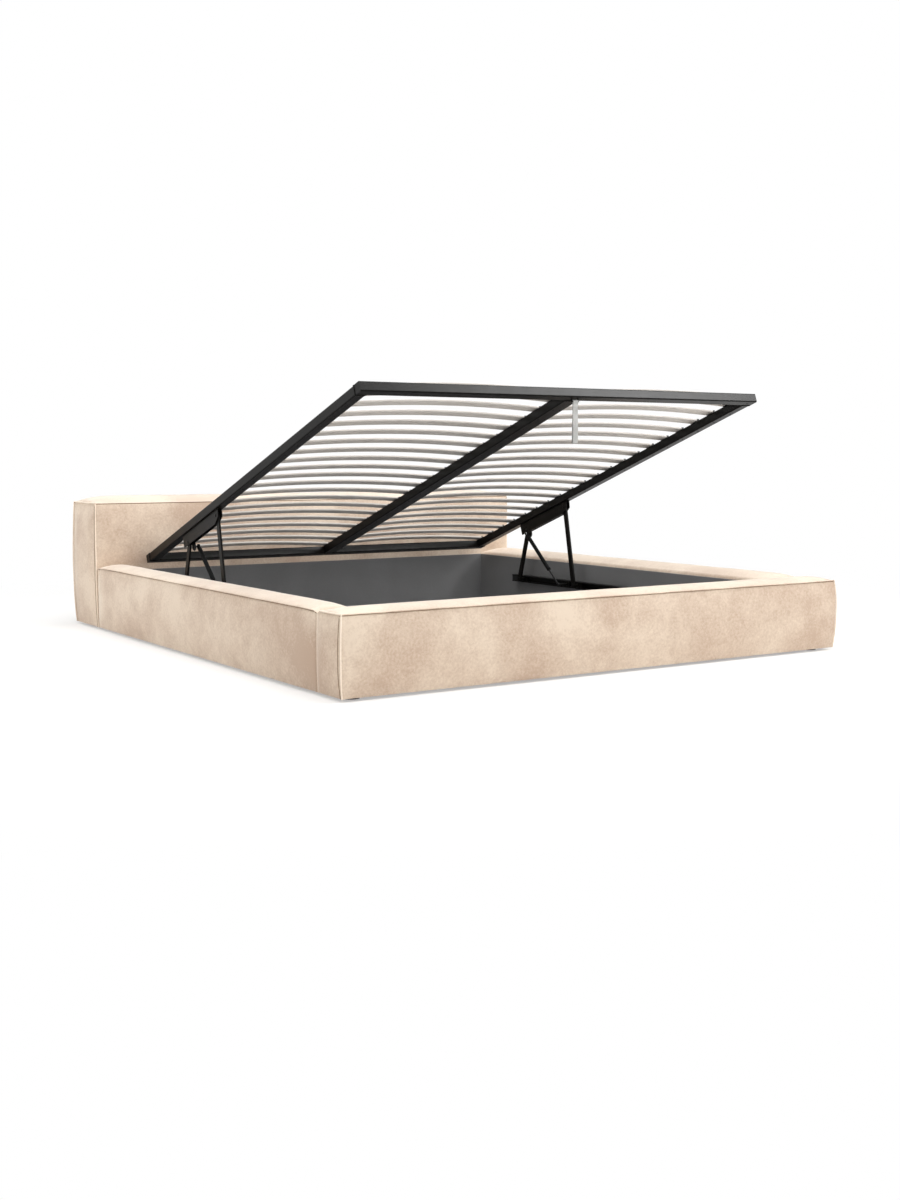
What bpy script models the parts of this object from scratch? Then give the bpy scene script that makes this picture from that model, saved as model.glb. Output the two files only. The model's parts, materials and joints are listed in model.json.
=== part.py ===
# Upholstered storage bed with a slatted frame that lifts.
# Metres, +Z up. The origin lies on the floor, in the middle of the bed's footprint.
# +Y points to the headboard, and +X to the right of someone who stands at the foot.
# The frame is modelled raised. Each moving piece, or the empty that carries it, sits on its own axis.

from collections import namedtuple
from math import atan2, cos, hypot, pi, radians, sin, sqrt, tan

import bmesh
import bpy
from mathutils import Vector

# Whole bed, from seam to seam of the cover
BED_WIDTH = 2.190
BED_LENGTH = 2.490
RAIL_SEAM_HEIGHT = 0.273
HEAD_SEAM_HEIGHT = 0.552
FOOT_THICKNESS = 0.165
HEAD_THICKNESS = 0.283
RAIL_THICKNESS = 0.1597

# Clearances
GAP = 0.0003
OVERRUN = 0.004
FRAME_HEAD_GAP = 0.006
FRAME_FOOT_GAP = 0.008
FRAME_SIDE_GAP = 0.035
PIN_CLEARANCE = 0.0005
PIVOT_CLEARANCE = 0.0005

# Padding
COVER_BASE = 0.010
END_ROLL = 0.110
END_DRAW = 0.007
END_SHARES = (0.0, 0.10, 0.30, 0.60, 1.0)
RUN_STEPS = 6
FACE_STEPS = 5
TOP_STEPS = 7
ROLL_STEPS = 4
ARCH_POWER = 2.6
CAP_SHARES = (0.86, 0.55)
RAIL_CROWN = 0.016
RAIL_SHOULDER_LIFT = 0.002
RAIL_INNER_ROLL = 0.026
FOOT_CROWN = 0.016
HEAD_CROWN = 0.026
HEAD_SHOULDER_LIFT = 0.0
HEAD_INNER_ROLL = 0.012
FACE_SWELL = 0.009
HEAD_FRONT_SWELL = 0.012
HEAD_FRONT_START = 0.300
SIDE_PANEL_SWELL = 0.008

# Boards inside the storage box
SIDE_LINING = 0.010
END_LINING = 0.016
LINING_BASE = 0.012
LINING_TOP = 0.2557
PANEL_BASE = 0.022
PANEL_THICKNESS = 0.012
BEARER_WIDTH = 0.080
BEARER_BASE = 0.008
BEARER_FOOT_RADIUS = 0.025
BEARER_FOOT_SPACING = 0.500

# Feet, and the plates that join rails and end boards from below
FOOT_RADIUS = 0.030
FOOT_INSET = 0.065
JOINT_PLATE_LENGTH = 0.100
JOINT_PLATE_WIDTH = 0.030
JOINT_PLATE_THICKNESS = 0.003
JOINT_PLATE_HOLE = 0.0035
JOINT_PLATE_HOLE_SHARES = (-0.38, -0.16, 0.16, 0.38)

# Steel tubes of the lifting frame
TUBE_WIDTH = 0.040
TUBE_DEPTH = 0.035
TUBE_WALL = 0.0015
TUBE_CORNER = 0.004
TUBE_CORNER_STEPS = 2
BEAM_WIDTH = 0.060
VENT_RADIUS = 0.004

# Sprung slats, each row in two bays
SLAT_ROWS = 21
SLAT_WIDTH = 0.038
SLAT_THICKNESS = 0.008
SLAT_BOW = 0.018
SLAT_STEPS = 8
FIRST_SLAT = 0.048
LAST_SLAT_GAP = 0.0582
LAST_SLAT_FROM_FOOT = 0.075
HOLDER_WIDTH = 0.044
HOLDER_LENGTH = 0.040
HOLDER_WALL = 0.002
HOLDER_MARGIN = 0.005
HUB_OVERHANG = 0.010

# Travel of the frame's head edge between shut and open
OPEN_ANGLE = radians(19.6)
EDGE_RISE = 0.031
EDGE_ADVANCE = 0.059

# Lift brackets under the side tubes, along the frame from its head edge and down from its underside
PLATE_WALL = 0.003
LIFT_REAR = 0.405
LIFT_FRONT = 0.785
LIFT_DEPTH = 0.050
NOSE_DEPTH = 0.031
NOSE_SET_BACK = 0.006
NOSE_LENGTH = 0.045
REAR_PIVOT_ALONG = 0.449
REAR_PIVOT_DOWN = 0.038
FRONT_PIVOT_ALONG = 0.757
FRONT_PIVOT_DOWN = 0.020
STRUT_STUD_ALONG = 0.465
STRUT_STUD_DOWN = 0.062
STRUT_LUG_RADIUS = 0.018

# Arms, pins and carriages
ARM_THICKNESS = 0.008
ARM_WIDTH = 0.024
ARM_SIDE_GAP = 0.003
PIN_RADIUS = 0.005
BOLT_HEAD_RADIUS = 0.009
BOLT_HEAD_HEIGHT = 0.003
ROUND_SIDES = 16
CARRIAGE_TRAVEL = 0.270
CARRIAGE_BAR = 0.008
CARRIAGE_SHOE = 0.056
BOSS_RADIUS = 0.008

# Tracks on the side linings
TRACK_WIDTH = 0.032
TRACK_HEIGHT = 0.032
TRACK_BASE = 0.143
TRACK_WALL = 0.002
TRACK_LIP = 0.005
TRACK_FRONT_ROOM = 0.020
TRACK_REAR_ROOM = 0.065

# Gas struts
STRUT_RADIUS = 0.009
STRUT_PLANE = 0.028
STRUT_BODY_LENGTH = 0.240
ROD_RADIUS = 0.004
ROD_LENGTH = 0.190
ROD_CLEARANCE = 0.0004
EYE_RADIUS = 0.009
EYE_THICKNESS = 0.008
STUD_RADIUS = 0.003
STUD_FOOT_RADIUS = 0.006
STRUT_FOOT_FROM_HEAD = 0.777
BORE_END_WALL = 0.030
EAR_LENGTH = 0.040

# Pull strap under the foot tube
STRAP_WIDTH = 0.022
STRAP_THICKNESS = 0.003
STRAP_LENGTH = 0.150
STRAP_LOOP_RADIUS = 0.0055
STAPLE_RADIUS = 0.0025
STAPLE_DROP = 0.009
STAPLE_EAR = 0.003
STAPLE_ROOM = 0.001

# Surfaces that several pieces share
HALF_WIDTH = BED_WIDTH / 2
HALF_LENGTH = BED_LENGTH / 2
FOOT_BACK = FOOT_THICKNESS - HALF_LENGTH
HEAD_FRONT = HALF_LENGTH - HEAD_THICKNESS
LINING_BACK = HALF_WIDTH - RAIL_THICKNESS - GAP
LINING_FACE = LINING_BACK - SIDE_LINING
LINING_INNER_HEAD = HEAD_FRONT - GAP - END_LINING
LINING_INNER_FOOT = FOOT_BACK + GAP + END_LINING
FRAME_LENGTH = HEAD_FRONT - FOOT_BACK - FRAME_HEAD_GAP - FRAME_FOOT_GAP
SLAT_PITCH = (FRAME_LENGTH - FIRST_SLAT - LAST_SLAT_FROM_FOOT - LAST_SLAT_GAP) / (SLAT_ROWS - 2)
FRAME_HALF_WIDTH = LINING_FACE - FRAME_SIDE_GAP
LIFT_PLANE = FRAME_HALF_WIDTH - TUBE_WIDTH / 2
STRUT_X = LIFT_PLANE - STRUT_PLANE
TRACK_BACK = LINING_FACE - GAP
TRACK_FRONT = TRACK_BACK - TRACK_WIDTH
TRACK_MIDDLE = TRACK_BASE + TRACK_HEIGHT / 2

SHARP_ANGLE = radians(32)

Pad = namedtuple("Pad", "thickness seam crown lift roll outer_swell inner_swell inner_start")
Finish = namedtuple("Finish", "colour roughness metallic")

VELVET = Finish((0.74, 0.63, 0.52), 0.85, 0.0)
LINING = Finish((0.055, 0.055, 0.060), 0.75, 0.0)
BOARD = Finish((0.16, 0.16, 0.17), 0.70, 0.0)
PLASTIC = Finish((0.02, 0.02, 0.02), 0.50, 0.0)
BLACK_STEEL = Finish((0.022, 0.022, 0.024), 0.38, 0.6)
ZINC = Finish((0.55, 0.56, 0.57), 0.35, 1.0)
ROD_STEEL = Finish((0.030, 0.030, 0.032), 0.25, 0.8)
BIRCH = Finish((0.44, 0.40, 0.37), 0.50, 0.0)
WEBBING = Finish((0.58, 0.58, 0.58), 0.90, 0.0)
WOOD = Finish((0.48, 0.36, 0.24), 0.65, 0.0)


# Small modelling helpers

def along_x(across, height, distance):
    return (distance, across, height)


def along_y(across, height, distance):
    return (across, distance, height)


def along_z(across, depth, distance):
    return (across, depth, distance)


def new_object(name, shape):
    """Turn a finished bmesh into an object of the scene."""
    bmesh.ops.recalc_face_normals(shape, faces=shape.faces)
    mesh = bpy.data.meshes.new(name)
    shape.to_mesh(mesh)
    shape.free()
    piece = bpy.data.objects.new(name, mesh)
    bpy.context.scene.collection.objects.link(piece)
    return piece


def loft(name, rings, tips=(None, None)):
    """Closed skin over a row of rings; a tip, where given, closes that end with a fan."""
    shape = bmesh.new()
    rows = [[shape.verts.new(point) for point in ring] for ring in rings]
    for row, following in zip(rows, rows[1:]):
        for index, corner in enumerate(row):
            after = (index + 1) % len(row)
            shape.faces.new((corner, row[after], following[after], following[index]))
    for row, tip in zip((rows[0], rows[-1]), tips):
        if tip is None:
            shape.faces.new(row)
            continue
        apex = shape.verts.new(tip)
        for index, corner in enumerate(row):
            shape.faces.new((corner, row[(index + 1) % len(row)], apex))
    return new_object(name, shape)


def prism(name, outline, start, end, direction):
    """An outline drawn out from start to end along one direction."""
    rings = [[direction(u, v, distance) for u, v in outline] for distance in (start, end)]
    return loft(name, rings)


def rectangle(low_u, high_u, low_v, high_v):
    return [(low_u, low_v), (high_u, low_v), (high_u, high_v), (low_u, high_v)]


def block(name, low, high):
    """A plain board between two opposite corners."""
    outline = rectangle(low[0], high[0], low[1], high[1])
    return prism(name, outline, low[2], high[2], along_z)


def arc(centre, radius, start, turn, steps):
    """Points of an arc, its two ends included."""
    angles = [start + turn * index / steps for index in range(steps + 1)]
    return [(centre[0] + radius * cos(angle), centre[1] + radius * sin(angle)) for angle in angles]


def circle(centre, radius):
    return arc(centre, radius, 0.0, 2 * pi, ROUND_SIDES)[:-1]


def pin(name, centre, radius, start, end):
    """A round bar across the bed, centred on a (y, z) point."""
    return prism(name, circle(centre, radius), start, end, along_x)


def combine(piece, tool, operation):
    """Apply an exact Boolean of the tool to the piece, and delete the tool."""
    change = piece.modifiers.new(operation.title(), "BOOLEAN")
    change.operation = operation
    change.solver = "EXACT"
    change.object = tool
    graph = bpy.context.evaluated_depsgraph_get()
    mesh = bpy.data.meshes.new_from_object(piece.evaluated_get(graph))
    piece.modifiers.clear()
    piece.data = mesh
    bpy.data.objects.remove(tool)
    return piece


def fuse(piece, *tools):
    for tool in tools:
        combine(piece, tool, "UNION")
    return piece


def cut(piece, *tools):
    for tool in tools:
        combine(piece, tool, "DIFFERENCE")
    return piece


def dress(piece, finish, parent=None, location=(0.0, 0.0, 0.0), turn=0.0):
    """Give a piece its material and its place under its parent."""
    material = bpy.data.materials.new(piece.name + "_finish")
    material.use_nodes = True
    shader = material.node_tree.nodes["Principled BSDF"]
    shader.inputs["Base Color"].default_value = (*finish.colour, 1.0)
    shader.inputs["Roughness"].default_value = finish.roughness
    shader.inputs["Metallic"].default_value = finish.metallic
    piece.data.materials.clear()
    piece.data.materials.append(material)
    piece.data.shade_smooth()
    piece.data.set_sharp_from_angle(angle=SHARP_ANGLE)
    piece.parent = parent
    piece.location = location
    piece.rotation_euler = (turn, 0.0, 0.0)
    return piece


def side_name(side):
    return "right" if side > 0 else "left"


# Motion of the frame: a turn about the pole that carries its head edge from shut to open

def turned(point, angle):
    """A (y, z) point turned about the origin, as a turn about +X does."""
    y, z = point
    return (y * cos(angle) - z * sin(angle), y * sin(angle) + z * cos(angle))


def pole_of(before, after, angle):
    """Centre of the turn that carries one (y, z) point to another."""
    reach = 1 / (2 * tan(angle / 2))
    y = (before[0] + after[0]) / 2 - (after[1] - before[1]) * reach
    z = (before[1] + after[1]) / 2 + (after[0] - before[0]) * reach
    return (y, z)


SHUT_EDGE = (HEAD_FRONT - FRAME_HEAD_GAP, LINING_TOP + GAP)
OPEN_EDGE = (SHUT_EDGE[0] - EDGE_ADVANCE, SHUT_EDGE[1] + EDGE_RISE)
POLE = pole_of(OPEN_EDGE, SHUT_EDGE, OPEN_ANGLE)
EDGE_FROM_POLE = (SHUT_EDGE[0] - POLE[0], SHUT_EDGE[1] - POLE[1])


def frame_place(along, up, shut=False):
    """World (y, z) of a point of the frame, measured from its head edge and its underside."""
    local = (EDGE_FROM_POLE[0] - along, EDGE_FROM_POLE[1] + up)
    y, z = local if shut else turned(local, -OPEN_ANGLE)
    return (POLE[0] + y, POLE[1] + z)


def carriage_pivot(along, down):
    """World (y, z), frame raised, of the carriage pivot that serves an arm hung from the frame."""
    raised = frame_place(along, -down)
    shut = frame_place(along, -down, shut=True)
    seen = (shut[0] + CARRIAGE_TRAVEL, shut[1])
    middle = ((raised[0] + seen[0]) / 2, (raised[1] + seen[1]) / 2)
    slope = (raised[1] - seen[1]) / (seen[0] - raised[0])
    return (middle[0] + (TRACK_MIDDLE - middle[1]) * slope, TRACK_MIDDLE)


REAR_ARM = (REAR_PIVOT_ALONG, REAR_PIVOT_DOWN)
FRONT_ARM = (FRONT_PIVOT_ALONG, FRONT_PIVOT_DOWN)
REAR_FOOT = carriage_pivot(*REAR_ARM)
FRONT_FOOT = carriage_pivot(*FRONT_ARM)
STRUT_FOOT = (HEAD_FRONT - STRUT_FOOT_FROM_HEAD, TRACK_MIDDLE)


# Upholstered boards

def arch(share):
    """How full a padded panel stands between its seams, from 0 at a seam to 1 in the middle."""
    return 1 - abs(2 * share - 1) ** ARCH_POWER


def fullness(distance):
    """How full the padding is at a distance from the end of its run."""
    left = max(0.0, 1 - distance / END_ROLL)
    return sqrt(1 - left * left)


def pad_outline(pad, full, drawn):
    """Cross-section of a padded board as (across, height) points, from its outer bottom edge round."""
    seam = pad.seam - drawn
    shoulder = pad.thickness - pad.roll
    roll_base = seam + pad.lift - pad.roll
    points = []
    for index in range(FACE_STEPS):
        share = index / FACE_STEPS
        across = drawn - pad.outer_swell * full * arch(share)
        points.append((across, COVER_BASE + (seam - COVER_BASE) * share))
    for index in range(TOP_STEPS):
        share = index / TOP_STEPS
        height = seam + pad.lift * share + pad.crown * full * arch(share)
        points.append((drawn + (shoulder - drawn) * share, height))
    points += arc((shoulder, roll_base), pad.roll, pi / 2, -pi / 2, ROLL_STEPS)
    if pad.inner_swell:
        for index in range(1, FACE_STEPS + 1):
            share = index / FACE_STEPS
            height = roll_base + (pad.inner_start - roll_base) * share
            points.append((pad.thickness + pad.inner_swell * full * arch(share), height))
    points.append((pad.thickness, COVER_BASE))
    return points


def stations(start, end):
    """Places of the cross-sections along a board: close at its ends, even between them."""
    near = [start + END_ROLL * share for share in END_SHARES]
    far = [end - END_ROLL * share for share in reversed(END_SHARES)]
    step = (far[0] - near[-1]) / RUN_STEPS
    return near + [near[-1] + step * index for index in range(1, RUN_STEPS)] + far


def side_panel(outline, pad):
    """Outlines and tip of a padded end panel, each with how far it stands out."""
    middle = (pad.thickness / 2, (COVER_BASE + pad.seam) / 2)
    rings = []
    for share in CAP_SHARES:
        ring = [(middle[0] + (across - middle[0]) * share, middle[1] + (height - middle[1]) * share)
                for across, height in outline]
        rings.append((ring, SIDE_PANEL_SWELL * (1 - share ** 2)))
    return rings, middle


def end_board(name, pad, outer_face, inward):
    """Headboard or footboard: it runs the whole width and has a padded panel at each end."""
    def placed(outline, x):
        return [(x, outer_face + inward * across, height) for across, height in outline]

    seams = pad_outline(pad, 0.0, 0.0)
    panels, middle = side_panel(seams, pad)
    rings = []
    for x in stations(-HALF_WIDTH, HALF_WIDTH):
        rings.append(placed(pad_outline(pad, fullness(HALF_WIDTH - abs(x)), 0.0), x))
    for ring, swell in panels:
        rings.insert(0, placed(ring, -HALF_WIDTH - swell))
        rings.append(placed(ring, HALF_WIDTH + swell))
    tip_x = HALF_WIDTH + SIDE_PANEL_SWELL
    tips = [placed([middle], x)[0] for x in (-tip_x, tip_x)]
    return loft(name, rings, tips)


def side_rail(side, pad):
    """Side rail: it fits between the end boards, and its cover is drawn in at both joints."""
    start = FOOT_BACK + GAP
    end = HEAD_FRONT - GAP
    rings = []
    for y in stations(start, end):
        full = fullness(min(y - start, end - y))
        outline = pad_outline(pad, full, END_DRAW * (1 - full))
        rings.append([(side * (HALF_WIDTH - across), y, height) for across, height in outline])
    return loft("side_rail_" + side_name(side), rings)


def build_upholstery():
    head = Pad(HEAD_THICKNESS, HEAD_SEAM_HEIGHT, HEAD_CROWN, HEAD_SHOULDER_LIFT,
               HEAD_INNER_ROLL, FACE_SWELL, HEAD_FRONT_SWELL, HEAD_FRONT_START)
    foot = Pad(FOOT_THICKNESS, RAIL_SEAM_HEIGHT, FOOT_CROWN, RAIL_SHOULDER_LIFT,
               RAIL_INNER_ROLL, FACE_SWELL, 0.0, COVER_BASE)
    rail = Pad(RAIL_THICKNESS, RAIL_SEAM_HEIGHT, RAIL_CROWN, RAIL_SHOULDER_LIFT,
               RAIL_INNER_ROLL, FACE_SWELL, 0.0, COVER_BASE)
    dress(end_board("headboard", head, HALF_LENGTH, -1), VELVET)
    dress(end_board("footboard", foot, -HALF_LENGTH, 1), VELVET)
    for side in (-1, 1):
        dress(side_rail(side, rail), VELVET)


# Storage box: linings, bottom panels, bearer, joining plates and feet

def build_linings():
    for side in (-1, 1):
        low_x, high_x = sorted((side * LINING_FACE, side * LINING_BACK))
        low = (low_x, FOOT_BACK + GAP, LINING_BASE)
        high = (high_x, HEAD_FRONT - GAP, LINING_TOP)
        dress(block("lining_" + side_name(side), low, high), LINING)
    reach = LINING_FACE - GAP
    ends = {
        "lining_foot": (FOOT_BACK + GAP, LINING_INNER_FOOT),
        "lining_head": (LINING_INNER_HEAD, HEAD_FRONT - GAP),
    }
    for name, (start, end) in ends.items():
        dress(block(name, (-reach, start, LINING_BASE), (reach, end, LINING_TOP)), LINING)


def build_bottom():
    reach = LINING_FACE - GAP
    middle = (LINING_INNER_HEAD + LINING_INNER_FOOT) / 2
    halves = {
        "bottom_panel_foot": (LINING_INNER_FOOT + GAP, middle - GAP / 2),
        "bottom_panel_head": (middle + GAP / 2, LINING_INNER_HEAD - GAP),
    }
    for name, (start, end) in halves.items():
        top = PANEL_BASE + PANEL_THICKNESS
        dress(block(name, (-reach, start, PANEL_BASE), (reach, end, top)), BOARD)
    low = (-reach, middle - BEARER_WIDTH / 2, BEARER_BASE)
    high = (reach, middle + BEARER_WIDTH / 2, PANEL_BASE - GAP)
    bearer = block("centre_bearer", low, high)
    for x in (-BEARER_FOOT_SPACING, BEARER_FOOT_SPACING):
        outline = circle((x, middle), BEARER_FOOT_RADIUS)
        fuse(bearer, prism("bearer_foot", outline, 0.0, BEARER_BASE + OVERRUN, along_z))
    dress(bearer, WOOD)


def joint_plate(name, centre):
    """Flat steel plate that spans the joint of a rail and an end board, drilled for four screws."""
    x, y = centre
    across = JOINT_PLATE_WIDTH / 2
    along = JOINT_PLATE_LENGTH / 2
    top = COVER_BASE - GAP
    base = top - JOINT_PLATE_THICKNESS
    plate = block(name, (x - across, y - along, base), (x + across, y + along, top))
    for share in JOINT_PLATE_HOLE_SHARES:
        outline = circle((x, y + JOINT_PLATE_LENGTH * share), JOINT_PLATE_HOLE)
        cut(plate, prism("drill", outline, base - OVERRUN, top + OVERRUN, along_z))
    return plate


def build_corners():
    for end, joint_y, outward in (("foot", FOOT_BACK, -1), ("head", HEAD_FRONT, 1)):
        for side in (-1, 1):
            name = end + "_" + side_name(side)
            plate_at = (side * (HALF_WIDTH - RAIL_THICKNESS / 2), joint_y)
            dress(joint_plate("joint_plate_" + name, plate_at), ZINC)
            foot_at = (side * (HALF_WIDTH - FOOT_INSET), outward * (HALF_LENGTH - FOOT_INSET))
            outline = circle(foot_at, FOOT_RADIUS)
            dress(prism("glide_" + name, outline, 0.0, COVER_BASE - GAP, along_z), PLASTIC)


# Lifting frame, drawn in its own axes: x across, -y along it from its head edge, z up from its underside

def tube_outline(middle, width):
    """Rectangular tube section with rounded corners, its underside at height zero."""
    points = []
    reach = width / 2 - TUBE_CORNER
    corners = ((reach, TUBE_DEPTH - TUBE_CORNER), (-reach, TUBE_DEPTH - TUBE_CORNER),
               (-reach, TUBE_CORNER), (reach, TUBE_CORNER))
    for quarter, (across, height) in enumerate(corners):
        points += arc((middle + across, height), TUBE_CORNER, quarter * pi / 2, pi / 2, TUBE_CORNER_STEPS)
    return points


def tube(name, middle, width, start, end, direction, capped):
    """Hollow tube; a capped one breathes through a vent in its underside."""
    piece = prism(name, tube_outline(middle, width), start, end, direction)
    inner = width / 2 - TUBE_WALL
    core = rectangle(middle - inner, middle + inner, TUBE_WALL, TUBE_DEPTH - TUBE_WALL)
    if not capped:
        return cut(piece, prism("core", core, start - OVERRUN, end + OVERRUN, direction))
    vent_at = (end - TUBE_DEPTH, middle)
    vent = prism("vent", circle(vent_at, VENT_RADIUS), -OVERRUN, TUBE_WALL + OVERRUN, along_z)
    return cut(piece, prism("core", core, start + TUBE_WALL, end - TUBE_WALL, direction), vent)


def build_tubes(place):
    foot_middle = TUBE_WIDTH / 2 - FRAME_LENGTH
    across = (-FRAME_HALF_WIDTH, FRAME_HALF_WIDTH, along_x, True)
    between = (-FRAME_LENGTH + TUBE_WIDTH + GAP, -TUBE_WIDTH - GAP, along_y, False)
    head = tube("frame_tube_head", -TUBE_WIDTH / 2, TUBE_WIDTH, *across)
    foot = tube("frame_tube_foot", foot_middle, TUBE_WIDTH, *across)
    place(head, BLACK_STEEL)
    place(fuse(foot, *strap_staple(foot_middle)), BLACK_STEEL)
    for side in (-1, 1):
        place(tube("frame_tube_" + side_name(side), side * LIFT_PLANE, TUBE_WIDTH, *between), BLACK_STEEL)
    place(tube("centre_beam", 0.0, BEAM_WIDTH, *between), BLACK_STEEL)


def strap_staple(y):
    """Steel staple under the foot tube that the pull strap hangs from."""
    reach = STRAP_WIDTH / 2 + STAPLE_ROOM
    bar_reach = reach + STAPLE_EAR / 2
    parts = [pin("staple_bar", (y, -STAPLE_DROP), STAPLE_RADIUS, -bar_reach, bar_reach)]
    for side in (-1, 1):
        low_x, high_x = sorted((side * reach, side * (reach + STAPLE_EAR)))
        ear = rectangle(y - STAPLE_EAR, y + STAPLE_EAR, -STAPLE_DROP - STAPLE_EAR, TUBE_WALL / 2)
        parts.append(prism("staple_ear", ear, low_x, high_x, along_x))
    return parts


def slat_section(x, along, width, low, high):
    front = -along - width / 2
    back = -along + width / 2
    return [(x, front, low), (x, back, low), (x, back, high), (x, front, high)]


def slat_row(number, along):
    """Two bowed slats in a row, with their holders on the side tubes and over the centre beam."""
    seat = TUBE_DEPTH + GAP
    slat_low = seat + HOLDER_WALL
    slat_high = slat_low + SLAT_THICKNESS
    holder_high = slat_high + HOLDER_WALL
    end_out = FRAME_HALF_WIDTH - HOLDER_MARGIN
    end_in = end_out - HOLDER_LENGTH
    hub = BEAM_WIDTH / 2 + HUB_OVERHANG
    half = [(end_out, HOLDER_WIDTH, seat, holder_high), (end_in, HOLDER_WIDTH, seat, holder_high)]
    for index in range(SLAT_STEPS + 1):
        share = index / SLAT_STEPS
        rise = SLAT_BOW * 4 * share * (1 - share)
        half.append((end_in + (hub - end_in) * share, SLAT_WIDTH, slat_low + rise, slat_high + rise))
    half.append((hub, HOLDER_WIDTH, seat, holder_high))
    left = [slat_section(-x, along, width, low, high) for x, width, low, high in half]
    right = [slat_section(x, along, width, low, high) for x, width, low, high in reversed(half)]
    return loft(f"slat_pair_{number:02d}", left + right)


def build_slats(place):
    """Evenly spaced rows, and a last one closer to the foot tube, where people sit down."""
    places = [FIRST_SLAT + SLAT_PITCH * row for row in range(SLAT_ROWS - 1)]
    places.append(FRAME_LENGTH - LAST_SLAT_FROM_FOOT)
    for number, along in enumerate(places, 1):
        place(slat_row(number, along), BIRCH)


def lift_plate():
    """Outline of a lift bracket's side plate, with its raked front end."""
    top = -GAP
    return [(-LIFT_REAR, top), (-LIFT_REAR, -LIFT_DEPTH), (NOSE_LENGTH - LIFT_FRONT, -LIFT_DEPTH),
            (NOSE_SET_BACK - LIFT_FRONT, -NOSE_DEPTH), (-LIFT_FRONT, top)]


def lift_bracket(side):
    """Folded bracket under a side tube: two plates, and between them the pins that the arms turn on."""
    middle = side * LIFT_PLANE
    inside = ARM_THICKNESS / 2 + ARM_SIDE_GAP
    outside = inside + PLATE_WALL
    top = -GAP
    web = block("lift_bracket_" + side_name(side), (middle - outside, -LIFT_FRONT, top - PLATE_WALL),
                (middle + outside, -LIFT_REAR, top))
    for start in (-outside, inside):
        plate = prism("plate", lift_plate(), middle + start, middle + start + PLATE_WALL, along_x)
        fuse(web, plate)
    for along, down in (REAR_ARM, FRONT_ARM):
        reach = outside + BOLT_HEAD_HEIGHT / 2
        fuse(web, pin("arm_pin", (-along, -down), PIN_RADIUS, middle - reach, middle + reach))
    stud_at = (-STRUT_STUD_ALONG, -STRUT_STUD_DOWN)
    inner_face = middle - side * outside
    stud_tip = side * (STRUT_X - EYE_THICKNESS / 2 - GAP)
    lug_ends = sorted((inner_face, middle - side * inside))
    stud_ends = sorted((stud_tip, inner_face + side * PLATE_WALL / 2))
    lug = pin("lug", stud_at, STRUT_LUG_RADIUS, *lug_ends)
    stud = pin("stud", stud_at, STUD_RADIUS, *stud_ends)
    return fuse(web, lug, stud)


# Linkage: arms, carriages, tracks, struts and strap

def arm(name, length):
    """Flat arm that hangs from its upper pin, with a bolt head at its lower pivot."""
    radius = ARM_WIDTH / 2
    outline = arc((0.0, 0.0), radius, 0.0, pi, ROUND_SIDES // 2)
    outline += arc((0.0, -length), radius, pi, pi, ROUND_SIDES // 2)
    piece = prism(name, outline, -ARM_THICKNESS / 2, ARM_THICKNESS / 2, along_x)
    hole = pin("hole", (0.0, 0.0), PIN_RADIUS + PIN_CLEARANCE, -ARM_THICKNESS, ARM_THICKNESS)
    return cut(piece, hole)


def bolt_head(side, length):
    """Head of an arm's lower pivot bolt, on the arm's face that looks into the bed."""
    ends = sorted((0.0, -side * (ARM_THICKNESS / 2 + BOLT_HEAD_HEIGHT)))
    return pin("bolt_head", (0.0, -length), BOLT_HEAD_RADIUS, *ends)


def swing(top, bottom):
    """Length of a hanging piece, and the turn about +X that aims it from top to bottom."""
    reach_y = bottom[0] - top[0]
    reach_z = bottom[1] - top[1]
    return hypot(reach_y, reach_z), atan2(reach_y, -reach_z)


def build_arms(side, axis, origin):
    pivots = {"rear_arm_": (REAR_ARM, REAR_FOOT), "front_arm_": (FRONT_ARM, FRONT_FOOT)}
    for name, (upper, lower) in pivots.items():
        length, turn = swing(frame_place(upper[0], -upper[1]), lower)
        piece = fuse(arm(name + side_name(side), length), bolt_head(side, length))
        place = origin + Vector((side * LIFT_PLANE, -upper[0], -upper[1]))
        dress(piece, BLACK_STEEL, axis, place, turn + OPEN_ANGLE)


def track_profile(side):
    """Lipped channel that lies on its back against the side lining, as (x, z) points."""
    low = TRACK_BASE
    high = TRACK_BASE + TRACK_HEIGHT
    front = TRACK_FRONT
    inner_front = front + TRACK_WALL
    inner_back = TRACK_BACK - TRACK_WALL
    inner_low = low + TRACK_WALL
    inner_high = high - TRACK_WALL
    outside = [(front, low + TRACK_LIP), (front, low), (TRACK_BACK, low),
               (TRACK_BACK, high), (front, high), (front, high - TRACK_LIP)]
    inside = [(inner_front, high - TRACK_LIP), (inner_front, inner_high), (inner_back, inner_high),
              (inner_back, inner_low), (inner_front, inner_low), (inner_front, low + TRACK_LIP)]
    return [(side * x, z) for x, z in outside + inside]


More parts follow.
